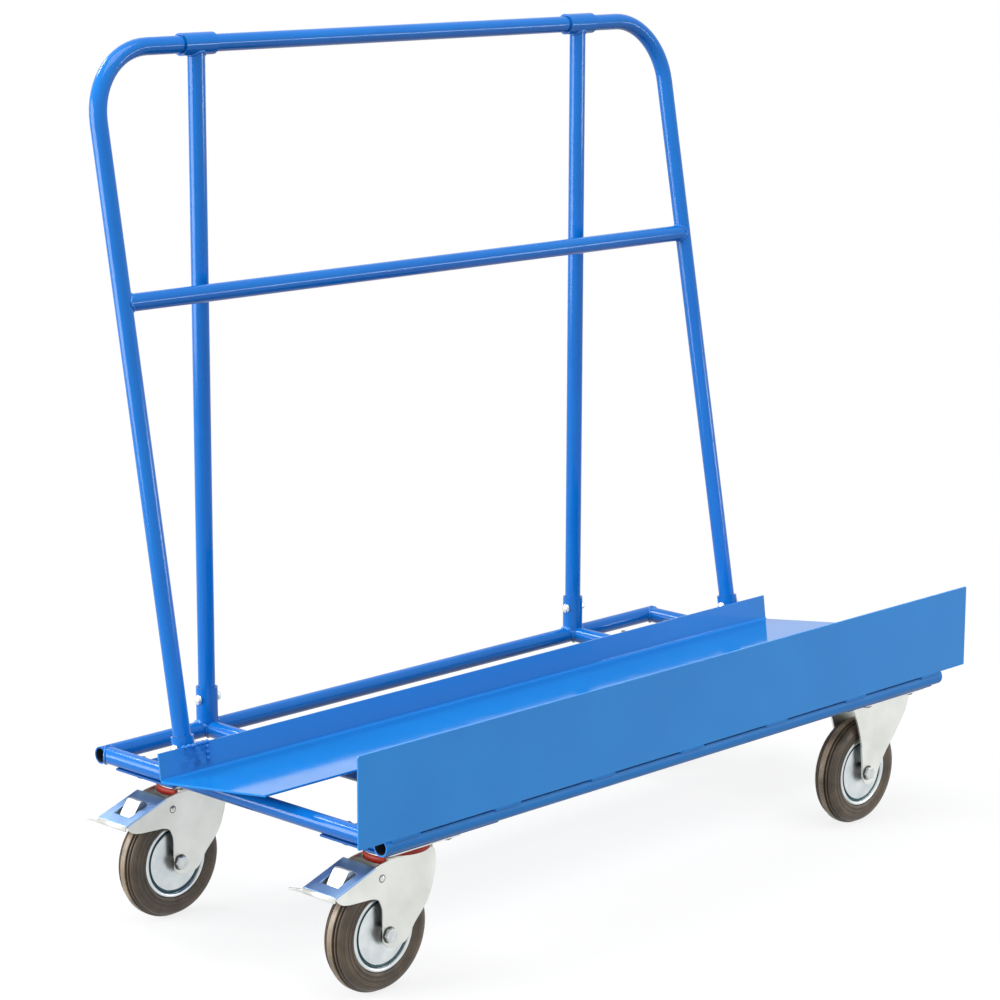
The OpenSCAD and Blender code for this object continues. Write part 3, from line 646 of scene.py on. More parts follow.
bead, given, result = geometry_tree("Weld bead", [
    ("Radius", "NodeSocketFloat"), ("Pitch", "NodeSocketFloat"), ("Ripple", "NodeSocketFloat"),
    ("Wander", "NodeSocketFloat"), ("Seed", "NodeSocketFloat"), ("Paint", "NodeSocketMaterial")])
run = add(bead, "GeometryNodeMeshToCurve", {"Mesh": given.outputs["Geometry"]})
short = reckon(bead, "DIVIDE", given.outputs["Pitch"], bead_parts)
run = add(bead, "GeometryNodeResampleCurve", {"Curve": run.outputs[0], "Length": short}, mode="LENGTH")
spot = add(bead, "GeometryNodeInputPosition")
hand = add(bead, "ShaderNodeTexNoise", {"Vector": spot.outputs[0], "W": given.outputs["Seed"],
                                        "Scale": hand_waves, "Detail": 2.0}, noise_dimensions="4D")
drift = add(bead, "ShaderNodeVectorMath", {0: hand.outputs["Color"], 1: (0.5, 0.5, 0.5)},
            operation="SUBTRACT")
drift = add(bead, "ShaderNodeVectorMath", {0: drift.outputs[0], "Scale": given.outputs["Wander"]},
            operation="SCALE")
moved = add(bead, "GeometryNodeSetPosition", {"Geometry": run.outputs[0], "Offset": drift.outputs[0]})
along = add(bead, "GeometryNodeSplineParameter")
turn = reckon(bead, "DIVIDE", along.outputs["Length"], given.outputs["Pitch"])
wave = reckon(bead, "SINE", reckon(bead, "MULTIPLY", turn, 2 * math.pi))
wave = reckon(bead, "ADD", wave, hand.outputs[0])
swell = reckon(bead, "MULTIPLY_ADD", wave, given.outputs["Ripple"], bead_share)
ring = add(bead, "GeometryNodeCurvePrimitiveCircle", {"Resolution": bead_sides,
                                                      "Radius": given.outputs["Radius"]})
skin = add(bead, "GeometryNodeCurveToMesh", {"Curve": moved.outputs[0], "Profile Curve": ring.outputs[0],
                                             "Scale": swell, "Fill Caps": True})
skin = add(bead, "GeometryNodeSetShadeSmooth", {"Geometry": skin.outputs[0]})
end_tree(bead, result, skin, given.outputs["Paint"])
weld_blue = sprayed("weld_blue", (0.02, 0.24, 0.7, 1.0), blue, gloss=0.18, dust=0.25, sheen=0.45, bump=0.2)


def loop(where, steps=40):
    """A closed run of weld: where gives the point at each angle."""
    return [where(2 * math.pi * i / steps) for i in range(steps)], True


def arm(across, radius):
    """How far a round of this radius reaches at this distance across its axis."""
    return math.sqrt(max(0.0, radius * radius - across * across))


def weld(name, runs, radius, pitch, ripple, wander, seed):
    """Beads along several runs, each a list of points and whether it is closed."""
    points, edges = [], []
    for line, closed in runs:
        first = len(points)
        points += line
        edges += [(first + i, first + i + 1) for i in range(len(line) - 1)]
        if closed:
            edges.append((len(points) - 1, first))
    return grown(name, points, edges, [], bead, {"Radius": radius, "Pitch": pitch, "Ripple": ripple,
                                                 "Wander": wander, "Seed": seed, "Paint": weld_blue})


near = tube_r * run_share
reach = tube_r * reach_share
wide = socket_r * sleeve_share
saddle = tube_r * saddle_share
pad_run_x = tube_r * pad_run_share
pad_run_z = base_z - arm(pad_run_x, tube_r) - pad_run_drop
runs, lumpy = [], []
for side in (-1, 1):
    for x in (side * end_x, side * cross_x):
        for y, out in ((rear_y, -1), (front_y, 1)):
            runs.append(loop(lambda t: Vector((
                x + near * math.cos(t), y + out * arm(near * math.sin(t), reach),
                base_z + near * math.sin(t)))))
    lumpy.append(loop(lambda t: Vector((
        side * upright_x + wide * math.cos(t), rear_y + min(wide * math.sin(t), socket_r - bury),
        base_z + max(saddle, arm(wide * math.sin(t), tube_r))))))
    lumpy.append(loop(lambda t: in_hoop(side * end_x + wide * math.cos(t), wide * math.sin(t),
                                        foot_drop - max(saddle, arm(wide * math.cos(t), tube_r)))))
    runs.append(loop(lambda t: Vector((
        side * upright_x + near * math.cos(t), rear_y + near * math.sin(t),
        top_z - arm(near * math.sin(t), socket_r * run_share)))))
    runs.append(loop(lambda t: in_hoop(side * (end_x - arm(near * math.cos(t), reach)), near * math.cos(t),
                                       mid_drop + near * math.sin(t))))
    for start in (pad_low.y, pad_high.y - pad_wide):
        for x in (end_x - pad_run_x, cross_x + pad_run_x):
            runs.append(([Vector((side * x, start + pad_run_end, pad_run_z)),
                          Vector((side * x, start + pad_wide - pad_run_end, pad_run_z))], False))
    for x in (end_x, cross_x):
        runs.append(([in_tray(side * x + reach_x, tray_run_in, tray_run_in)
                      for reach_x in (-tray_run_half, tray_run_half)], False))
    for x in (end_x - flange_run_x, end_x + flange_run_x):
        lumpy.append(([in_tray(side * x, flange_run_out[0], flange_run_low),
                       in_tray(side * x, flange_run_out[1], tray_flange - flange_run_top)], False))
lumpy.append(([in_tray(u - end_x, -half_sheet, tray_flange - lump_drop) for u in lump_places], False))
lumpy.append(([in_tray(drip_x - end_x, -tray_sheet, v) for v in drip_heights], False))
fit(weld("joint_welds", runs, radius=0.002, pitch=0.0065, ripple=0.08, wander=0.0008, seed=3.0),
    "frame", "blue_paint")
fit(weld("socket_welds", lumpy, radius=0.0029, pitch=0.0085, ripple=0.22, wander=0.004, seed=6.0),
    "frame", "blue_paint")


def under_plate(inset):
    """Gives places under the plate's lower edge, this far in from its face."""
    return lambda x, down, deep: Vector((x, plate_low.y + inset + deep, plate_low.z - down))


stitch_step = (stitch_high.x - stitch_low.x - stitch_long) / (stitch_count - 1)
stitch_at = Vector((0.0, plate_low.y + stitch_in, plate_low.z - stitch_drop))
runs = []
for i in range(stitch_count):
    middle = stitch_at + Vector(((i - (stitch_count - 1) / 2) * stitch_step, 0.0, 0.0))
    runs.append(([middle + Vector((end * stitch_long / 2, 0.0, 0.0)) for end in (-1, 0, 1)], False))
stitches = weld("plate_stitches", runs, stitch_r, pitch=0.005, ripple=0.16, wander=0.0012, seed=8.0)
fit(stitches, "frame", "blue_paint", None, "plate_welds")
toes = [flat_piece("toe", oblong(run[0].x, run[2].x, -toe_lap, toe_deep), seam_t, 0.0, under_plate(toe_in))
        for run, _ in runs]
fit(joined("stitch_toes", toes), "frame", "blue_paint", front_blue)
# Navy strips under the plate's lower edge between the stitches: painted shadow in the gap over the tube.
slot_navy = sprayed("slot_navy", (0.004, 0.03, 0.12, 1.0), (0.003, 0.02, 0.08, 1.0),
                    gloss=0.6, dust=0.0, sheen=0.1)
shadow_strip_half = (stitch_step - stitch_long) / 2 - shadow_strip_end
shadow_strips = []
for i in range(stitch_count - 1):
    middle = (i - stitch_count / 2 + 1) * stitch_step
    outline = oblong(middle - shadow_strip_half, middle + shadow_strip_half, 0.0, shadow_strip_deep)
    shadow_strips.append(flat_piece("slot", outline, seam_t, 0.0, under_plate(shadow_strip_in)))
fit(joined("seam_slots", shadow_strips), "frame", "blue_paint", slot_navy)


# Weld spatter: small balls of steel that stuck to the flange beside the welds of the hoop's left foot and
# were painted over. They are thickest close to the foot.
spatter_fields = [(0.03, 0.012, 0.04), (0.016, 0.016, 0.041)]
spatter_size = 0.0011
spatter_density = 22000.0
spatter_least = 0.35
spatter, given, result = geometry_tree("Weld spatter", [
    ("Density", "NodeSocketFloat"), ("Size", "NodeSocketFloat"), ("Seed", "NodeSocketInt"),
    ("Paint", "NodeSocketMaterial")])
spots = add(spatter, "GeometryNodeDistributePointsOnFaces", {
    "Mesh": given.outputs["Geometry"], "Density": given.outputs["Density"], "Seed": given.outputs["Seed"]})
ball = add(spatter, "GeometryNodeMeshIcoSphere", {"Radius": given.outputs["Size"], "Subdivisions": 2})
ball = add(spatter, "GeometryNodeSetShadeSmooth", {"Geometry": ball.outputs[0]})
grain = add(spatter, "FunctionNodeRandomValue", {2: spatter_least, 3: 1.0, "Seed": given.outputs["Seed"]})
balls = add(spatter, "GeometryNodeInstanceOnPoints", {
    "Points": spots.outputs["Points"], "Instance": ball.outputs[0], "Scale": grain.outputs[1]})
end_tree(spatter, result, balls, given.outputs["Paint"])

patches, cells = [], []
for half_wide, low, high in spatter_fields:
    first = len(patches)
    patches += [in_tray(u - end_x, -tray_sheet, v) for u, v in oblong(-half_wide, half_wide, low, high)]
    cells.append((first, first + 1, first + 2, first + 3))
drops = grown("weld_spatter", patches, [], cells, spatter, {
    "Density": spatter_density, "Size": spatter_size, "Seed": 5, "Paint": weld_blue})
fit(drops, "frame", "blue_paint")


# Socket bolts: domed bolts through each socket with a hex nut on the far side, bright zinc plated.
# They keep the uprights and the hoop's feet from lifting out.
dome_r = 0.0075
dome_t = 0.0045
nut_t = 0.006
nut_edge = 0.0007
shank_r = 0.004
shank_end = 0.0006
bolt_up = 0.045
bolt_drop = (top_z - base_z - bolt_up) / math.cos(leg_lean)
about_x = (6.28, 0.0, 0.0)
zinc_smears = 90.0

zinc_plating, given, result = skin_group("Zinc plating", [
    ("Colour", "NodeSocketColor", (0.75, 0.76, 0.75, 1.0)),
    ("Stain", "NodeSocketColor", (0.65, 0.66, 0.62, 1.0)),
    ("Gloss", "NodeSocketFloat", 0.35), ("Cloud size", "NodeSocketFloat", 24.0),
    ("Wave size", "NodeSocketFloat", 520.0)])
cloud = spread(zinc_plating, noise(zinc_plating, given.outputs["Cloud size"], 4.0), 0.0, 1.0)
tone = tinted(zinc_plating, cloud, given.outputs["Stain"], given.outputs["Colour"])
smear = spread(zinc_plating, noise(zinc_plating, zinc_smears), -0.03, 0.04)
rough = reckon(zinc_plating, "ADD", smear, given.outputs["Gloss"])
put_out(zinc_plating, result, tone, rough, noise(zinc_plating, given.outputs["Wave size"], 2.0))


def plated(name, colour, cloud_tone, gloss, clouds, bump, waves=520.0, metallic=1.0, depth=0.0004):
    """A plated or oiled steel: its clear tone and the tone of its clouds, how dull it is, its clouds and its
    waves.
    """
    return finish(name, zinc_plating, {"Colour": colour, "Stain": cloud_tone, "Gloss": gloss, "Cloud size": clouds,
                                       "Wave size": waves}, metallic, bump, depth)


fasteners, given, result = geometry_tree("Fasteners", [
    ("Fastener", "NodeSocketObject"), ("Turn", "NodeSocketVector"), ("Seed", "NodeSocketInt"),
    ("Plating", "NodeSocketMaterial")])
shape = add(fasteners, "GeometryNodeObjectInfo", {"Object": given.outputs["Fastener"]},
            transform_space="ORIGINAL")
turn = add(fasteners, "FunctionNodeRandomValue", {
    "Min": (0.0, 0.0, 0.0), "Max": given.outputs["Turn"], "Seed": given.outputs["Seed"]},
    data_type="FLOAT_VECTOR")
laid = add(fasteners, "GeometryNodeInstanceOnPoints", {
    "Points": given.outputs["Geometry"], "Instance": shape.outputs["Geometry"], "Rotation": turn.outputs[0]})
end_tree(fasteners, result, laid, given.outputs["Plating"])


def hexagon(name, across, thick, edge, where):
    """A hex head or nut, by its width over corners, with its edges broken."""
    outline = arc((0.0, 0.0), across / 2, 0.0, 300.0, 5)
    return flat_piece(name, outline, thick, edge, where)


def domed(radius, tall, base):
    """An outline in radius and along of a dome, from its edge to its top."""
    turns = [math.radians(a) for a in range(0, 91, 15)]
    return [(radius * math.cos(t), base + tall * math.sin(t)) for t in turns]


def fasten(name, places, template, turn, seed, plating):
    """One fastener at each place, each turned by chance about the axis that turn gives."""
    made = grown(name, places, [], [], fasteners, {"Fastener": template, "Turn": turn, "Seed": seed,
                                                   "Plating": plating})
    bpy.data.objects.remove(template)
    return made


bright_zinc = plated("bright_zinc", (0.8, 0.82, 0.82, 1.0), (0.66, 0.68, 0.68, 1.0),
                     gloss=0.3, clouds=60.0, bump=0.02)
socket_spots = []
for side in (-1, 1):
    socket_spots.append(Vector((side * upright_x, rear_y, base_z + bolt_up)))
    socket_spots.append(in_hoop(side * end_x, 0.0, bolt_drop))
cap = domed(dome_r, -dome_t, -socket_r)[::-1]
cap += [(shank_r, -socket_r), (shank_r, socket_r)]
cap += [(shank_r, socket_r + nut_t - shank_end), (0.0, socket_r + nut_t)]
dome = turned("dome_bolt", cap, lambda u, v, w: Vector((w, u, v)), steps=32)
domes = fasten("socket_dome_bolts", socket_spots, dome, about_x, 2, bright_zinc)
fit(domes, "frame", "bright_zinc", None, "socket_bolts")
nut = hexagon("hex_nut", 2 * dome_r, nut_t, nut_edge, lambda u, v, w: Vector((socket_r + w, u, v)))
nuts = fasten("socket_hex_nuts", socket_spots, nut, about_x, 4, bright_zinc)
fit(nuts, "frame", "bright_zinc", None, "socket_nuts")


# Caster bolts: hex bolts up through each caster's plate and pad, with nuts above and some thread to spare.
# They are plain dark steel with a little oil left on them.
caster_bolt_low, caster_bolt_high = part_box("caster_bolts")
caster_nut_low, caster_nut_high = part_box("caster_nuts")
bolt_hex = 0.0178
bolt_head_t = 0.0064
bolt_edge = 0.0008
bolt_r = 0.005
bolt_pitch = 0.0015
bolt_long = 0.105
bolt_wide = 0.075
about_z = (0.0, 0.0, 6.28)
pads_y = [pad_low.y + pad_wide / 2, pad_high.y - pad_wide / 2]
caster_x = caster_bolt_high.x - bolt_hex / 2 - bolt_long / 2
bolt_spots = [Vector((side * caster_x + u * bolt_long / 2, y + v * bolt_wide / 2, 0.0))
              for side in (-1, 1) for y in pads_y for u in (-1, 1) for v in (-1, 1)]


def thread(radius, start, end, pitch):
    """An outline in radius and along of a threaded rod, with rounded ends."""
    line = [(0.0, start), (radius - pitch / 2, start)]
    turns = int((end - start) / pitch) - 1
    for i in range(turns):
        line += [(radius, start + pitch * (i + 0.75)), (radius - pitch * 0.45, start + pitch * (i + 1.25))]
    return line + [(radius - pitch, end), (0.0, end)]


dark_steel = plated("dark_steel", (0.2, 0.19, 0.18, 1.0), (0.08, 0.075, 0.07, 1.0),
                    gloss=0.38, clouds=160.0, bump=0.15, metallic=0.85)
head = hexagon("hex_bolt", bolt_hex, bolt_head_t, bolt_edge,
               lambda u, v, w: Vector((u, v, caster_bolt_low.z + w)))
rod = turned("rod", thread(bolt_r, caster_bolt_low.z + bolt_head_t, caster_bolt_high.z, bolt_pitch),
             lambda u, v, w: Vector((u, v, w)), steps=20, sharp=80.0)
bolts = fasten("caster_hex_bolts", bolt_spots, joined("hex_bolt", [head, rod]), about_z, 6, dark_steel)
fit(bolts, "frame", "dark_steel", None, "caster_bolts")
nut = hexagon("hex_nut", bolt_hex, caster_nut_high.z - caster_nut_low.z, bolt_edge,
              lambda u, v, w: Vector((u, v, caster_nut_low.z + w)))
nuts = fasten("caster_hex_nuts", bolt_spots, nut, about_z, 9, dark_steel)
fit(nuts, "frame", "dark_steel", None, "caster_nuts")


# Swivel heads: a drilled top plate with a riveted king pin, over a red plastic ring that keeps dust out
# of the balls. The plates and pins are zinc plated steel.
ring_edge = 0.0016
ring_edge_steps = 4
ring_bore = 0.00702
ring_groove = 0.0008
groove_shares = (0.42, 0.5, 0.58)
wear_patches = 32.0
wear_from, wear_to = 0.12, 0.4
plate_zinc = plated("plate_zinc", (0.72, 0.73, 0.71, 1.0), (0.58, 0.6, 0.56, 1.0),
                    gloss=0.36, clouds=26.0, bump=0.03)
for node in ("front_left_top_plate", "rear_left_top_plate", "king_pins"):
    dress(node, plate_zinc)

moulded, given, result = skin_group("Moulded skin", [
    ("Colour", "NodeSocketColor", (0.5, 0.1, 0.04, 1.0)),
    ("Worn colour", "NodeSocketColor", (0.4, 0.1, 0.06, 1.0)),
    ("Gloss", "NodeSocketFloat", 0.5), ("Grain size", "NodeSocketFloat", 700.0)])
grain = noise(moulded, given.outputs["Grain size"])
worn = ranged(moulded, reckon(moulded, "MULTIPLY", noise(moulded, wear_patches), grain), wear_from, wear_to)
tone = tinted(moulded, worn, given.outputs["Colour"], given.outputs["Worn colour"])
rough = reckon(moulded, "ADD", spread(moulded, grain, -0.08, 0.1), given.outputs["Gloss"])
put_out(moulded, result, tone, rough, grain)
ring_red = finish("ring_red", moulded, {
    "Colour": (0.42, 0.025, 0.015, 1.0), "Worn colour": (0.26, 0.035, 0.02, 1.0),
    "Gloss": 0.5, "Grain size": 500.0}, metallic=0.0, bump=0.1, depth=0.0004, specular=0.3)
for row in ("front", "rear"):
    low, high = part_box(row + "_left_dust_ring")
    centre = (low + high) / 2
    outer = (high.x - low.x) / 2
    tall = high.z - low.z
    start, deepest, end = [tall * share for share in groove_shares]
    outline = [(ring_bore, 0.0)] + arc((outer - ring_edge, ring_edge), ring_edge, -90.0, 0.0, ring_edge_steps)
    outline += [(outer, start), (outer - ring_groove, deepest), (outer, end)]
    outline += arc((outer - ring_edge, tall - ring_edge), ring_edge, 0.0, 90.0, ring_edge_steps)
    outline += [(ring_bore, tall)]
    ring = turned(row + "_left_ball_ring", outline,
                  lambda u, v, w: Vector((centre.x + u, centre.y + v, low.z + w)), steps=72)
    fit(ring, "frame", "red_ring", ring_red, row + "_left_dust_ring")


# Swivel forks: a crown with round ends, folded down at both sides into two cheeks, each with a wing that
# shields the pedal. They are thick zinc plated sheet, with a red seal at both ends of the crown. The pedal
# hangs on a rivet in each cheek, with a dark ring round the rivet's head that is painted shadow.
mm = 0.001
cheek_in = 23.5 * mm
cheek_t = 3.0 * mm
cheek_out = cheek_in + cheek_t
cheek_edge = 0.9 * mm
swivel_ease = 5.0 * mm
crown_r = 46.0 * mm
crown_t = 4.0 * mm
crown_edge = 0.6 * mm
crown_gap = 0.5 * mm
crown_steps = 16
fork_fold = 4.0 * mm
fork_fold_half = 40.0 * mm
fork_fold_steps = 8
seal_half_turn = 28.0
seal_steps = 14
seal_low = 95.0 * mm
seal_out = 0.9 * mm
seal_drop = 0.6 * mm
seal_t = 1.2 * mm
pivot_back = 53.0 * mm
pivot_rise = 80.0 * mm
rivet_r = 3.0 * mm
rivet_head = 4.5 * mm
rivet_tall = 2.0 * mm
rivet_in = 3.0 * mm
shadow_mark_lap = 0.4 * mm
shadow_mark_out = 0.9 * mm
shadow_mark_t = 0.3 * mm
swivel_shape = [(40, 102.1), (44.5, 98), (46, 84), (45, 70.5), (41, 54.5), (36.4, 41.3), (30.3, 29.7),
                (20.8, 19), (6, 4.2), (-6.2, -13.8), (-16, -19), (-42, -19), (-51.5, -10), (-51.5, 37),
                (-58, 51.5), (-70, 55.5), (-112, 57.5), (-124, 60), (-132, 66), (-134.4, 71), (-129.4, 75.9),
                (-63, 98.8), (-48, 101.2), (-40, 102.1)]
fork_zinc = plated("fork_zinc", (0.78, 0.79, 0.76, 1.0), (0.62, 0.635, 0.595, 1.0),
                   gloss=0.42, clouds=18.0, bump=0.02)


def swivel_place(row):
    """The swivel axis and the axle of a left caster, as one point: its X and Y, and the axle's height."""
    low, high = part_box(row + "_left_dust_ring")
    tyre_low, tyre_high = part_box(row + "_left_tyre")
    return Vector(((low.x + high.x) / 2, (low.y + high.y) / 2, (tyre_low.z + tyre_high.z) / 2))


def in_mm(points):
    """Points that are given in millimetres."""
    return [(u * mm, w * mm) for u, w in points]


def cheeks(shape, ease):
    """The two cheeks of the fork that stands at the place at hand, from their outline in millimetres."""
    outline = rounded(in_mm(shape), ease, 4)
    return [flat_piece("cheek", outline, cheek_t, cheek_edge,
                       lambda x, z, deep: at + Vector((x, inner + deep, z)), rounds=3)
            for inner in (-cheek_out, cheek_in)]


def on_pivot(name, outline):
    """A round piece at the pedal's pivot on both cheeks of the fork at hand."""
    return [turned(name, outline, lambda u, v, w: at + Vector((u - pivot_back, side * w, v + pivot_rise)),
                   steps=28) for side in (-1, 1)]


flat = cheek_out - fork_fold
open_half = math.degrees(math.asin(flat / crown_r))
crown_plan = arc((0.0, 0.0), crown_r, -open_half, open_half, crown_steps)
crown_plan += arc((0.0, 0.0), crown_r, 180.0 - open_half, 180.0 + open_half, crown_steps)
seal_turns = [math.radians(seal_half_turn * (2 * i / seal_steps - 1)) for i in range(seal_steps + 1)]
stud = [(0.0, cheek_in - rivet_in), (rivet_r, cheek_in - rivet_in), (rivet_r, cheek_out)]
stud += domed(rivet_head, rivet_tall, cheek_out)
mark = oblong(rivet_head - shadow_mark_lap, rivet_head + shadow_mark_out, cheek_out, cheek_out + shadow_mark_t)
for row in ("front", "rear"):
    corner = row + "_left"
    at = swivel_place(row)
    crown_top = min(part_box(corner + "_fork")[1].z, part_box(corner + "_dust_ring")[0].z - crown_gap) - at.z
    parts = [flat_piece("crown", crown_plan, crown_t, crown_edge,
                        lambda x, y, deep: at + Vector((x, y, crown_top - crown_t + deep)))]
    parts += cheeks(swivel_shape, swivel_ease)
    bend = arc((flat, crown_top - fork_fold), fork_fold - cheek_t / 2, 90.0, 0.0, fork_fold_steps)
    for side in (-1, 1):
        parts.append(bent_sheet("fold", bend, [-fork_fold_half, fork_fold_half], cheek_t, 0.0,
                                lambda x, y, z: at + Vector((x, side * y, z))))
    fork = joined(corner + "_pressed_fork", parts)
    fit(fork, corner + "_caster", "zinc_plate", fork_zinc, corner + "_fork")

    seal_line = [(crown_r + seal_out, seal_low), (crown_r + seal_out, crown_top - seal_drop)]
    seals = [bent_sheet("seal", seal_line, seal_turns, seal_t, 0.0,
                        lambda t, r, z: at + Vector((end * r * math.cos(t), r * math.sin(t), z)))
             for end in (-1, 1)]
    fit(joined(corner + "_crown_seal", seals), corner + "_caster", "red_ring", ring_red)
    rivets = joined(corner + "_domed_rivets", on_pivot("rivet", stud))
    fit(rivets, corner + "_caster", "zinc_plate", plate_zinc, corner + "_pedal_rivets")
    # Dark rings round the rivet heads: painted shadow.
    rivet_shadow_marks = joined(corner + "_rivet_washers", on_pivot("mark", mark))
    fit(rivet_shadow_marks, corner + "_caster", "dark_steel", dark_steel)


# Brake pedals: stamped sheet with a window, and a tab that ramps down through it. A rolled lip runs out to a
# tip, and two ears hold the rivets. All is zinc: the sheet is tinted blue as a painted reflection of the blue
# frame above, and the lip, tab and ears are dull bright zinc. A moulded block under each pedal presses on the
# tyre.
pedal_tilt = math.radians(19.0)
pedal_half = 31.0 * mm
pedal_mid = 23.0 * mm
pedal_t = 3.0 * mm
pedal_edge = 0.4 * mm
pedal_start = 8.5 * mm
pedal_step = 19.0 * mm
pedal_long = 87.0 * mm
window_near = 30.0 * mm
window_far = 66.0 * mm
window_half = 17.0 * mm
window_cell = (2, 1)
lip_r = 3.6 * mm
lip_steps = 6
lip_deep = 5.0 * mm
tab_half = 14.0 * mm
tab_t = 2.5 * mm
tab_edge = 0.8 * mm
tab_line = [(-27.5, 22.8), (-30.5, 23.4), (-32.8, 26.6), (-34.6, 29.8), (-37, 31.2), (-39.8, 31.0),
            (-42.2, 29.4), (-62.6, 14.8)]
wall_t = 1.4 * mm
wall_edge = 0.3 * mm
wall_shape = [(-28, 22.6), (-31, 24.4), (-34.6, 30.2), (-37, 31.4), (-40, 31.2), (-43, 29.2), (-52, 22.6)]
ear_out = 23.0 * mm
ear_t = 2.5 * mm
ear_edge = 0.5 * mm
ear_ease = 3.0 * mm
ear_shape = [(8, 0), (6.5, 10), (-6, 22.4), (-30, 22.4), (-30, 11), (-8, -1.5), (-6, -6), (0, -8), (6, -6)]
tip_t = 2.2 * mm
tip_edge = 0.6 * mm
tip_ease = 1.2 * mm
tip_out = 1.4 * mm
tip_shape = [(28, 24.2), (31, 24.2), (57.6, 18.4), (57.6, 16.4), (31, 18.2), (28, 18.2)]
# The sheet's blue tint is a painted reflection of the blue frame above it.
pedal_blue = plated("pedal_blue", (0.32, 0.5, 0.78, 1.0), (0.24, 0.39, 0.66, 1.0),
                    gloss=0.33, clouds=30.0, bump=0.02)
block_dark = finish("block_dark", moulded, {
    "Colour": (0.05, 0.047, 0.045, 1.0), "Worn colour": (0.09, 0.085, 0.08, 1.0),
    "Gloss": 0.55, "Grain size": 600.0}, metallic=0.0, bump=0.2, depth=0.0004)


def in_pedal(y, along, up):
    """A point of the pedal, from the pivot at hand: along is out along its slope when it is negative."""
    return pivot + Vector((along * math.cos(pedal_tilt) - up * math.sin(pedal_tilt), y,
                           along * math.sin(pedal_tilt) + up * math.cos(pedal_tilt)))


def both_sides(name, outline, out, thick, edge):
    """A flat piece at both sides of the pedal, whose outer face is this far from the middle."""
    return [flat_piece(name, outline, thick, edge, lambda u, w, deep: in_pedal(y + deep, u, w))
            for y in (-out, out - thick)]


sheet_line = [(-along, pedal_mid)
              for along in (pedal_start, pedal_step, window_near, window_far, pedal_long - lip_r)]
sheet_rows = [-pedal_half, -window_half, window_half, pedal_half]
lip_line = arc((lip_r - pedal_long, pedal_mid - lip_r), lip_r, 90.0, 180.0, lip_steps)
lip_line += [(-pedal_long, pedal_mid - lip_deep)]
for row in ("front", "rear"):
    corner = row + "_left"
    pivot = swivel_place(row) + Vector((-pivot_back, 0.0, pivot_rise))
    sheet = bent_sheet(corner + "_stamped_pedal", sheet_line, sheet_rows, pedal_t, pedal_edge, in_pedal,
                       lambda i, j: (i, j) == window_cell)
    fit(sheet, corner + "_brake", "pedal_zinc", pedal_blue, corner + "_pedal")
    parts = [bent_sheet("tab", in_mm(tab_line), [-tab_half, tab_half], tab_t, tab_edge, in_pedal),
             bent_sheet("lip", lip_line, [-pedal_half, pedal_half], pedal_t, 0.0, in_pedal),
             flat_piece("tip", rounded(in_mm(tip_shape), tip_ease), tip_t, tip_edge,
                        lambda y, w, deep: in_pedal(y, deep - pedal_long - tip_out, w))]
    parts += both_sides("ear", rounded(in_mm(ear_shape), ear_ease), ear_out, ear_t, ear_edge)
    parts += both_sides("wall", in_mm(wall_shape), tab_half, wall_t, wall_edge)
    fit(joined(corner + "_pedal_tab", parts), corner + "_brake", "zinc_plate", fork_zinc)
    dress(corner + "_brake_shoe", block_dark)


# Fixed forks: the plate and both cheeks of a right caster are one pressing of zinc plated sheet, with the
# cheeks narrowing from the plate down to the axle.
fixed_shape = [(-70.6, 121), (-70.6, 119), (-65.4, 103.5), (-55, 79.7), (-45.6, 50), (-41.5, 17.9),
               (-41.5, -5), (-35, -17), (-26, -19.5), (-13, -17), (-5, -8), (3, 8), (16.8, 26.2),
               (39.6, 51.2), (62.5, 79.7), (71.9, 101.2), (75, 119), (75, 121)]
fixed_ease = 6.0 * mm
top_long = 75.0 * mm
top_wide = 55.0 * mm
top_t = 5.0 * mm
top_edge = 0.8 * mm
top_round = 8.0 * mm
top_plan = rounded(oblong(-top_long, top_long, -top_wide, top_wide), top_round)
for row in ("front", "rear"):
    corner = row + "_right"
    low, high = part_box(corner + "_fork")
    tyre_low, tyre_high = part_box(corner + "_tyre")
    at = Vector((high.x - top_long, (low.y + high.y) / 2, (tyre_low.z + tyre_high.z) / 2))
    parts = [flat_piece("top", top_plan, top_t, top_edge,
                        lambda x, y, deep: Vector((at.x + x, at.y + y, high.z - top_t + deep)))]
    parts += cheeks(fixed_shape, fixed_ease)
    fit(joined(corner + "_pressed_fork", parts), "frame", "zinc_plate", fork_zinc, corner + "_fork")


# Axle bolts and nuts: zinc plated hex bolts through each fork and hub, with their heads to the front, each
# head on a dark washer whose dark rim is painted shadow round the head.
head_hex = 21.0 * mm
head_t = 7.0 * mm
head_edge = 1.1 * mm
axle_r = 6.0 * mm
axle_pitch = 1.75 * mm
axle_nut_t = 9.0 * mm
shadow_washer_r = 11.4 * mm
shadow_washer_t = 0.6 * mm
axle_zinc = plated("axle_zinc", (0.7, 0.72, 0.72, 1.0), (0.5, 0.53, 0.53, 1.0),
                   gloss=0.34, clouds=110.0, bump=0.1)
wheels = [(row + "_" + side, row + "_left_caster" if side == "left" else "frame")
          for row in ("front", "rear") for side in ("left", "right")]


def on_axle(u, v, w):
    """A point of a wheel or its axle, from the middle of the hub at hand."""
    return hub + Vector((u, w, v))


def hub_of(corner):
    """The middle of a wheel."""
    low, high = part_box(corner + "_tyre")
    return (low + high) / 2


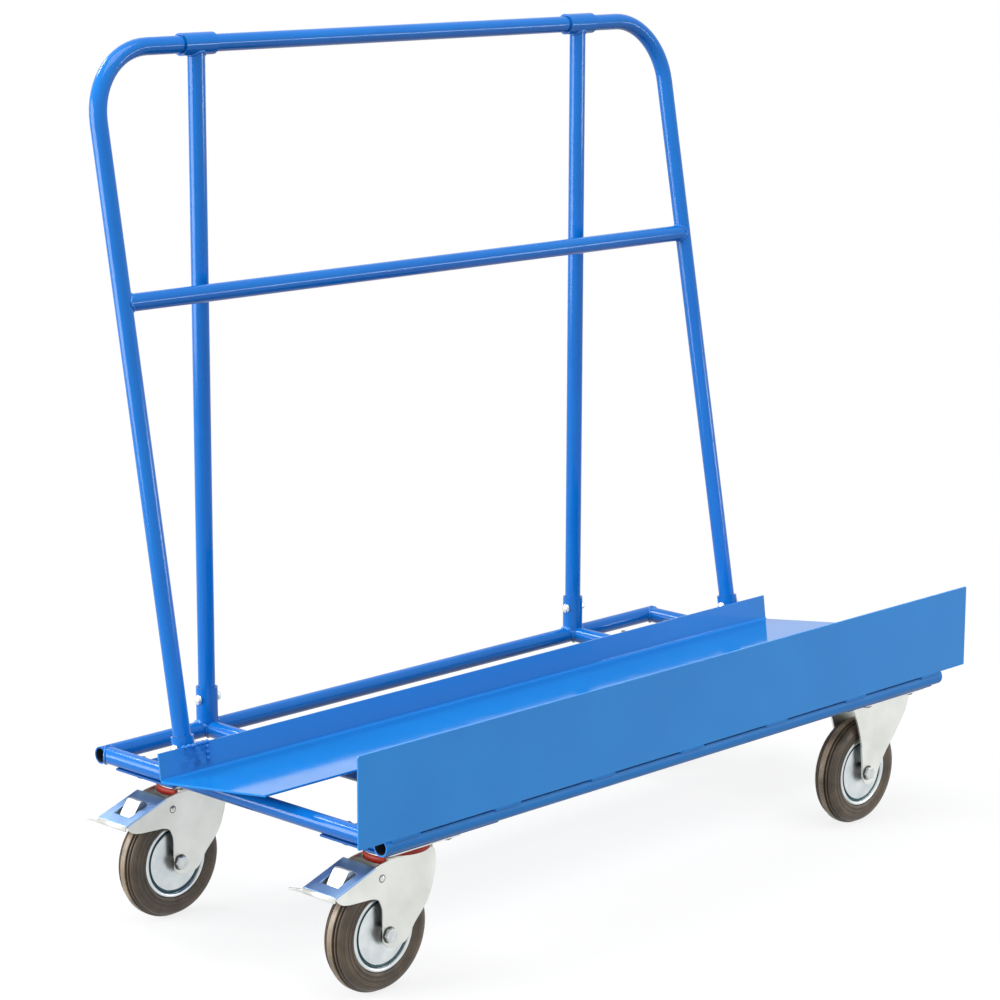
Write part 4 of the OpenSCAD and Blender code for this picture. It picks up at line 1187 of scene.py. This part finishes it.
for corner, fork_body in wheels:
    hub = hub_of(corner)
    rod_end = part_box(corner + "_axle_bolt")[1].y - hub.y
    head = hexagon("head", head_hex, head_t - shadow_washer_t, head_edge,
                   lambda u, v, w: on_axle(u, v, -cheek_out - shadow_washer_t - w))
    # The washer is dark so that its rim paints a shadow round the head.
    axle_shadow_washer = turned(corner + "_axle_washer", oblong(axle_r, shadow_washer_r, -cheek_out - shadow_washer_t, -cheek_out),
                    on_axle, steps=40)
    fit(axle_shadow_washer, fork_body, "dark_steel", dark_steel)
    rod = turned("rod", thread(axle_r, -cheek_out, rod_end, axle_pitch), on_axle, steps=28, sharp=80.0)
    fit(joined(corner + "_hex_axle", [head, rod]), fork_body, "bright_zinc", axle_zinc, corner + "_axle_bolt")
    nut = hexagon(corner + "_hex_axle_nut", head_hex, axle_nut_t, head_edge,
                  lambda u, v, w: on_axle(u, v, cheek_out + w))
    fit(nut, fork_body, "bright_zinc", axle_zinc, corner + "_axle_nut")


# Wheels: a solid grey-brown rubber tyre with a rib between grooves, painted pale as a painted highlight in
# patches of wear, moulded on a pressed rim of bright zinc with a flat outer ring, a recess lined with dark
# painted shade and a shallow dished disc, round a dark bearing bush. The rim's clouds are tinted blue-green,
# a painted reflection of the frame.
side_wall = [(54.1, 16.6), (55.2, 17.4), (57.4, 17.8), (57.9, 18.6), (58.9, 18.6), (59.4, 17.9), (63.2, 18.3),
             (63.7, 18.9), (64.9, 18.9), (65.4, 18.3), (69.0, 18.5), (72.6, 17.9), (75.6, 16.6), (77.9, 14.6),
             (79.2, 12.6), (79.6, 11.6), (78.2, 11.1), (78.0, 10.2), (80.4, 9.6), (81.3, 8.4), (81.4, 7.7),
             (79.2, 7.0), (78.9, 5.7), (82.6, 5.0), (83.3, 4.3), (83.5, 3.2)]
rim_face = [(13.02, 15.3), (20.0, 15.4), (28.8, 15.3), (36.5, 15.1), (41.0, 14.9), (42.9, 14.7), (43.5, 14.2),
            (43.9, 12.3), (45.2, 12.0), (46.6, 12.5), (47.6, 14.2), (48.3, 15.8), (49.4, 16.7), (51.2, 17.0),
            (52.6, 16.8), (53.6, 15.9)]
recess = [(43.6, 14.25), (44.05, 12.45), (45.2, 12.15), (46.5, 12.6), (47.2, 13.75), (47.1, 13.9),
          (46.3, 12.85), (45.2, 12.4), (44.25, 12.65), (43.8, 14.3)]
rib_half = 1.9 * mm
scuff_patches = 34.0
tyre_smears = 160.0
tyre_grain = 420.0

tyre_rubber, given, result = skin_group("Tyre rubber", [
    ("Colour", "NodeSocketColor", (0.1, 0.08, 0.06, 1.0)),
    ("Worn colour", "NodeSocketColor", (0.2, 0.16, 0.12, 1.0)),
    ("Rib colour", "NodeSocketColor", (0.35, 0.28, 0.2, 1.0)), ("Rib start", "NodeSocketFloat", 0.05),
    ("Gloss", "NodeSocketFloat", 0.6), ("Lines", "NodeSocketFloat", 900.0)])
across = add(tyre_rubber, "ShaderNodeAttribute", attribute_name="across").outputs["Fac"]
lines = add(tyre_rubber, "ShaderNodeTexNoise", {"W": across, "Scale": given.outputs["Lines"], "Detail": 2.0},
            noise_dimensions="1D").outputs[0]
lines = spread(tyre_rubber, lines, 0.0, 1.0)
scuff = spread(tyre_rubber, noise(tyre_rubber, scuff_patches, 5.0), 0.05, 1.0)
worn = reckon(tyre_rubber, "MULTIPLY", lines, scuff)
tone = tinted(tyre_rubber, worn, given.outputs["Colour"], given.outputs["Worn colour"])
# The rib is painted pale: a painted highlight along the tread, in patches of wear.
rib_highlight = reckon(tyre_rubber, "GREATER_THAN", across, given.outputs["Rib start"])
rib_highlight = reckon(tyre_rubber, "MULTIPLY", rib_highlight, scuff)
smear = spread(tyre_rubber, noise(tyre_rubber, tyre_smears), -0.1, 0.1)
rough = reckon(tyre_rubber, "ADD", smear, given.outputs["Gloss"])
grain = reckon(tyre_rubber, "ADD", noise(tyre_rubber, tyre_grain), lines)
put_out(tyre_rubber, result, tinted(tyre_rubber, rib_highlight, tone, given.outputs["Rib colour"]), rough, grain)


def mirrored(half):
    """A closed outline in radius and along, from its half at one side of a wheel."""
    return half + [(r, -w) for r, w in reversed(half)]


tyre_half = in_mm(side_wall)
rim_outline = mirrored(in_mm(rim_face))
gone = [0.0]
for before, after in zip(tyre_half, tyre_half[1:]):
    gone.append(gone[-1] + math.dist(before, after))
rib_start = gone[-1] - rib_half
gone += gone[::-1]
tyre_grey = finish("tyre_grey", tyre_rubber, {
    "Colour": (0.032, 0.023, 0.015, 1.0), "Worn colour": (0.24, 0.17, 0.105, 1.0),
    "Rib colour": (0.38, 0.29, 0.2, 1.0), "Rib start": rib_start, "Gloss": 0.4, "Lines": 420.0},
    metallic=0.0, bump=0.45, depth=0.0005)
# The rim's cloud tone is tinted blue-green: a painted reflection of the blue frame in the mottled zinc.
rim_zinc = plated("rim_zinc", (0.76, 0.79, 0.79, 1.0), (0.56, 0.62, 0.64, 1.0),
                  gloss=0.3, clouds=48.0, bump=0.1, waves=62.0, depth=0.0006)
# Dark teal liners: painted shade in the rim's recess.
recess_dark = plated("recess_dark", (0.07, 0.15, 0.17, 1.0), (0.03, 0.08, 0.1, 1.0),
                     gloss=0.42, clouds=120.0, bump=0.05, metallic=0.5)
for corner, _ in wheels:
    hub = hub_of(corner)
    body = corner + "_wheel"
    tyre = turned(corner + "_rubber_tyre", mirrored(tyre_half), on_axle, steps=144, sharp=30.0)
    marks = tyre.data.attributes.new("across", "FLOAT", "POINT")
    marks.data.foreach_set("value", [gone[i % len(gone)] for i in range(len(tyre.data.vertices))])
    fit(tyre, body, "tyre_rubber", tyre_grey, corner + "_tyre")
    rim = turned(corner + "_pressed_rim", rim_outline, on_axle, steps=120, sharp=30.0)
    fit(rim, body, "bright_zinc", rim_zinc, corner + "_rim")
    liners = [turned("liner", [(r, face * w) for r, w in in_mm(recess)], on_axle, steps=96)
              for face in (-1, 1)]
    fit(joined(corner + "_rim_recess", liners), body, "dark_steel", recess_dark)
    dress(corner + "_hub", dark_steel)


# The box round all that the visual model draws.
low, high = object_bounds()
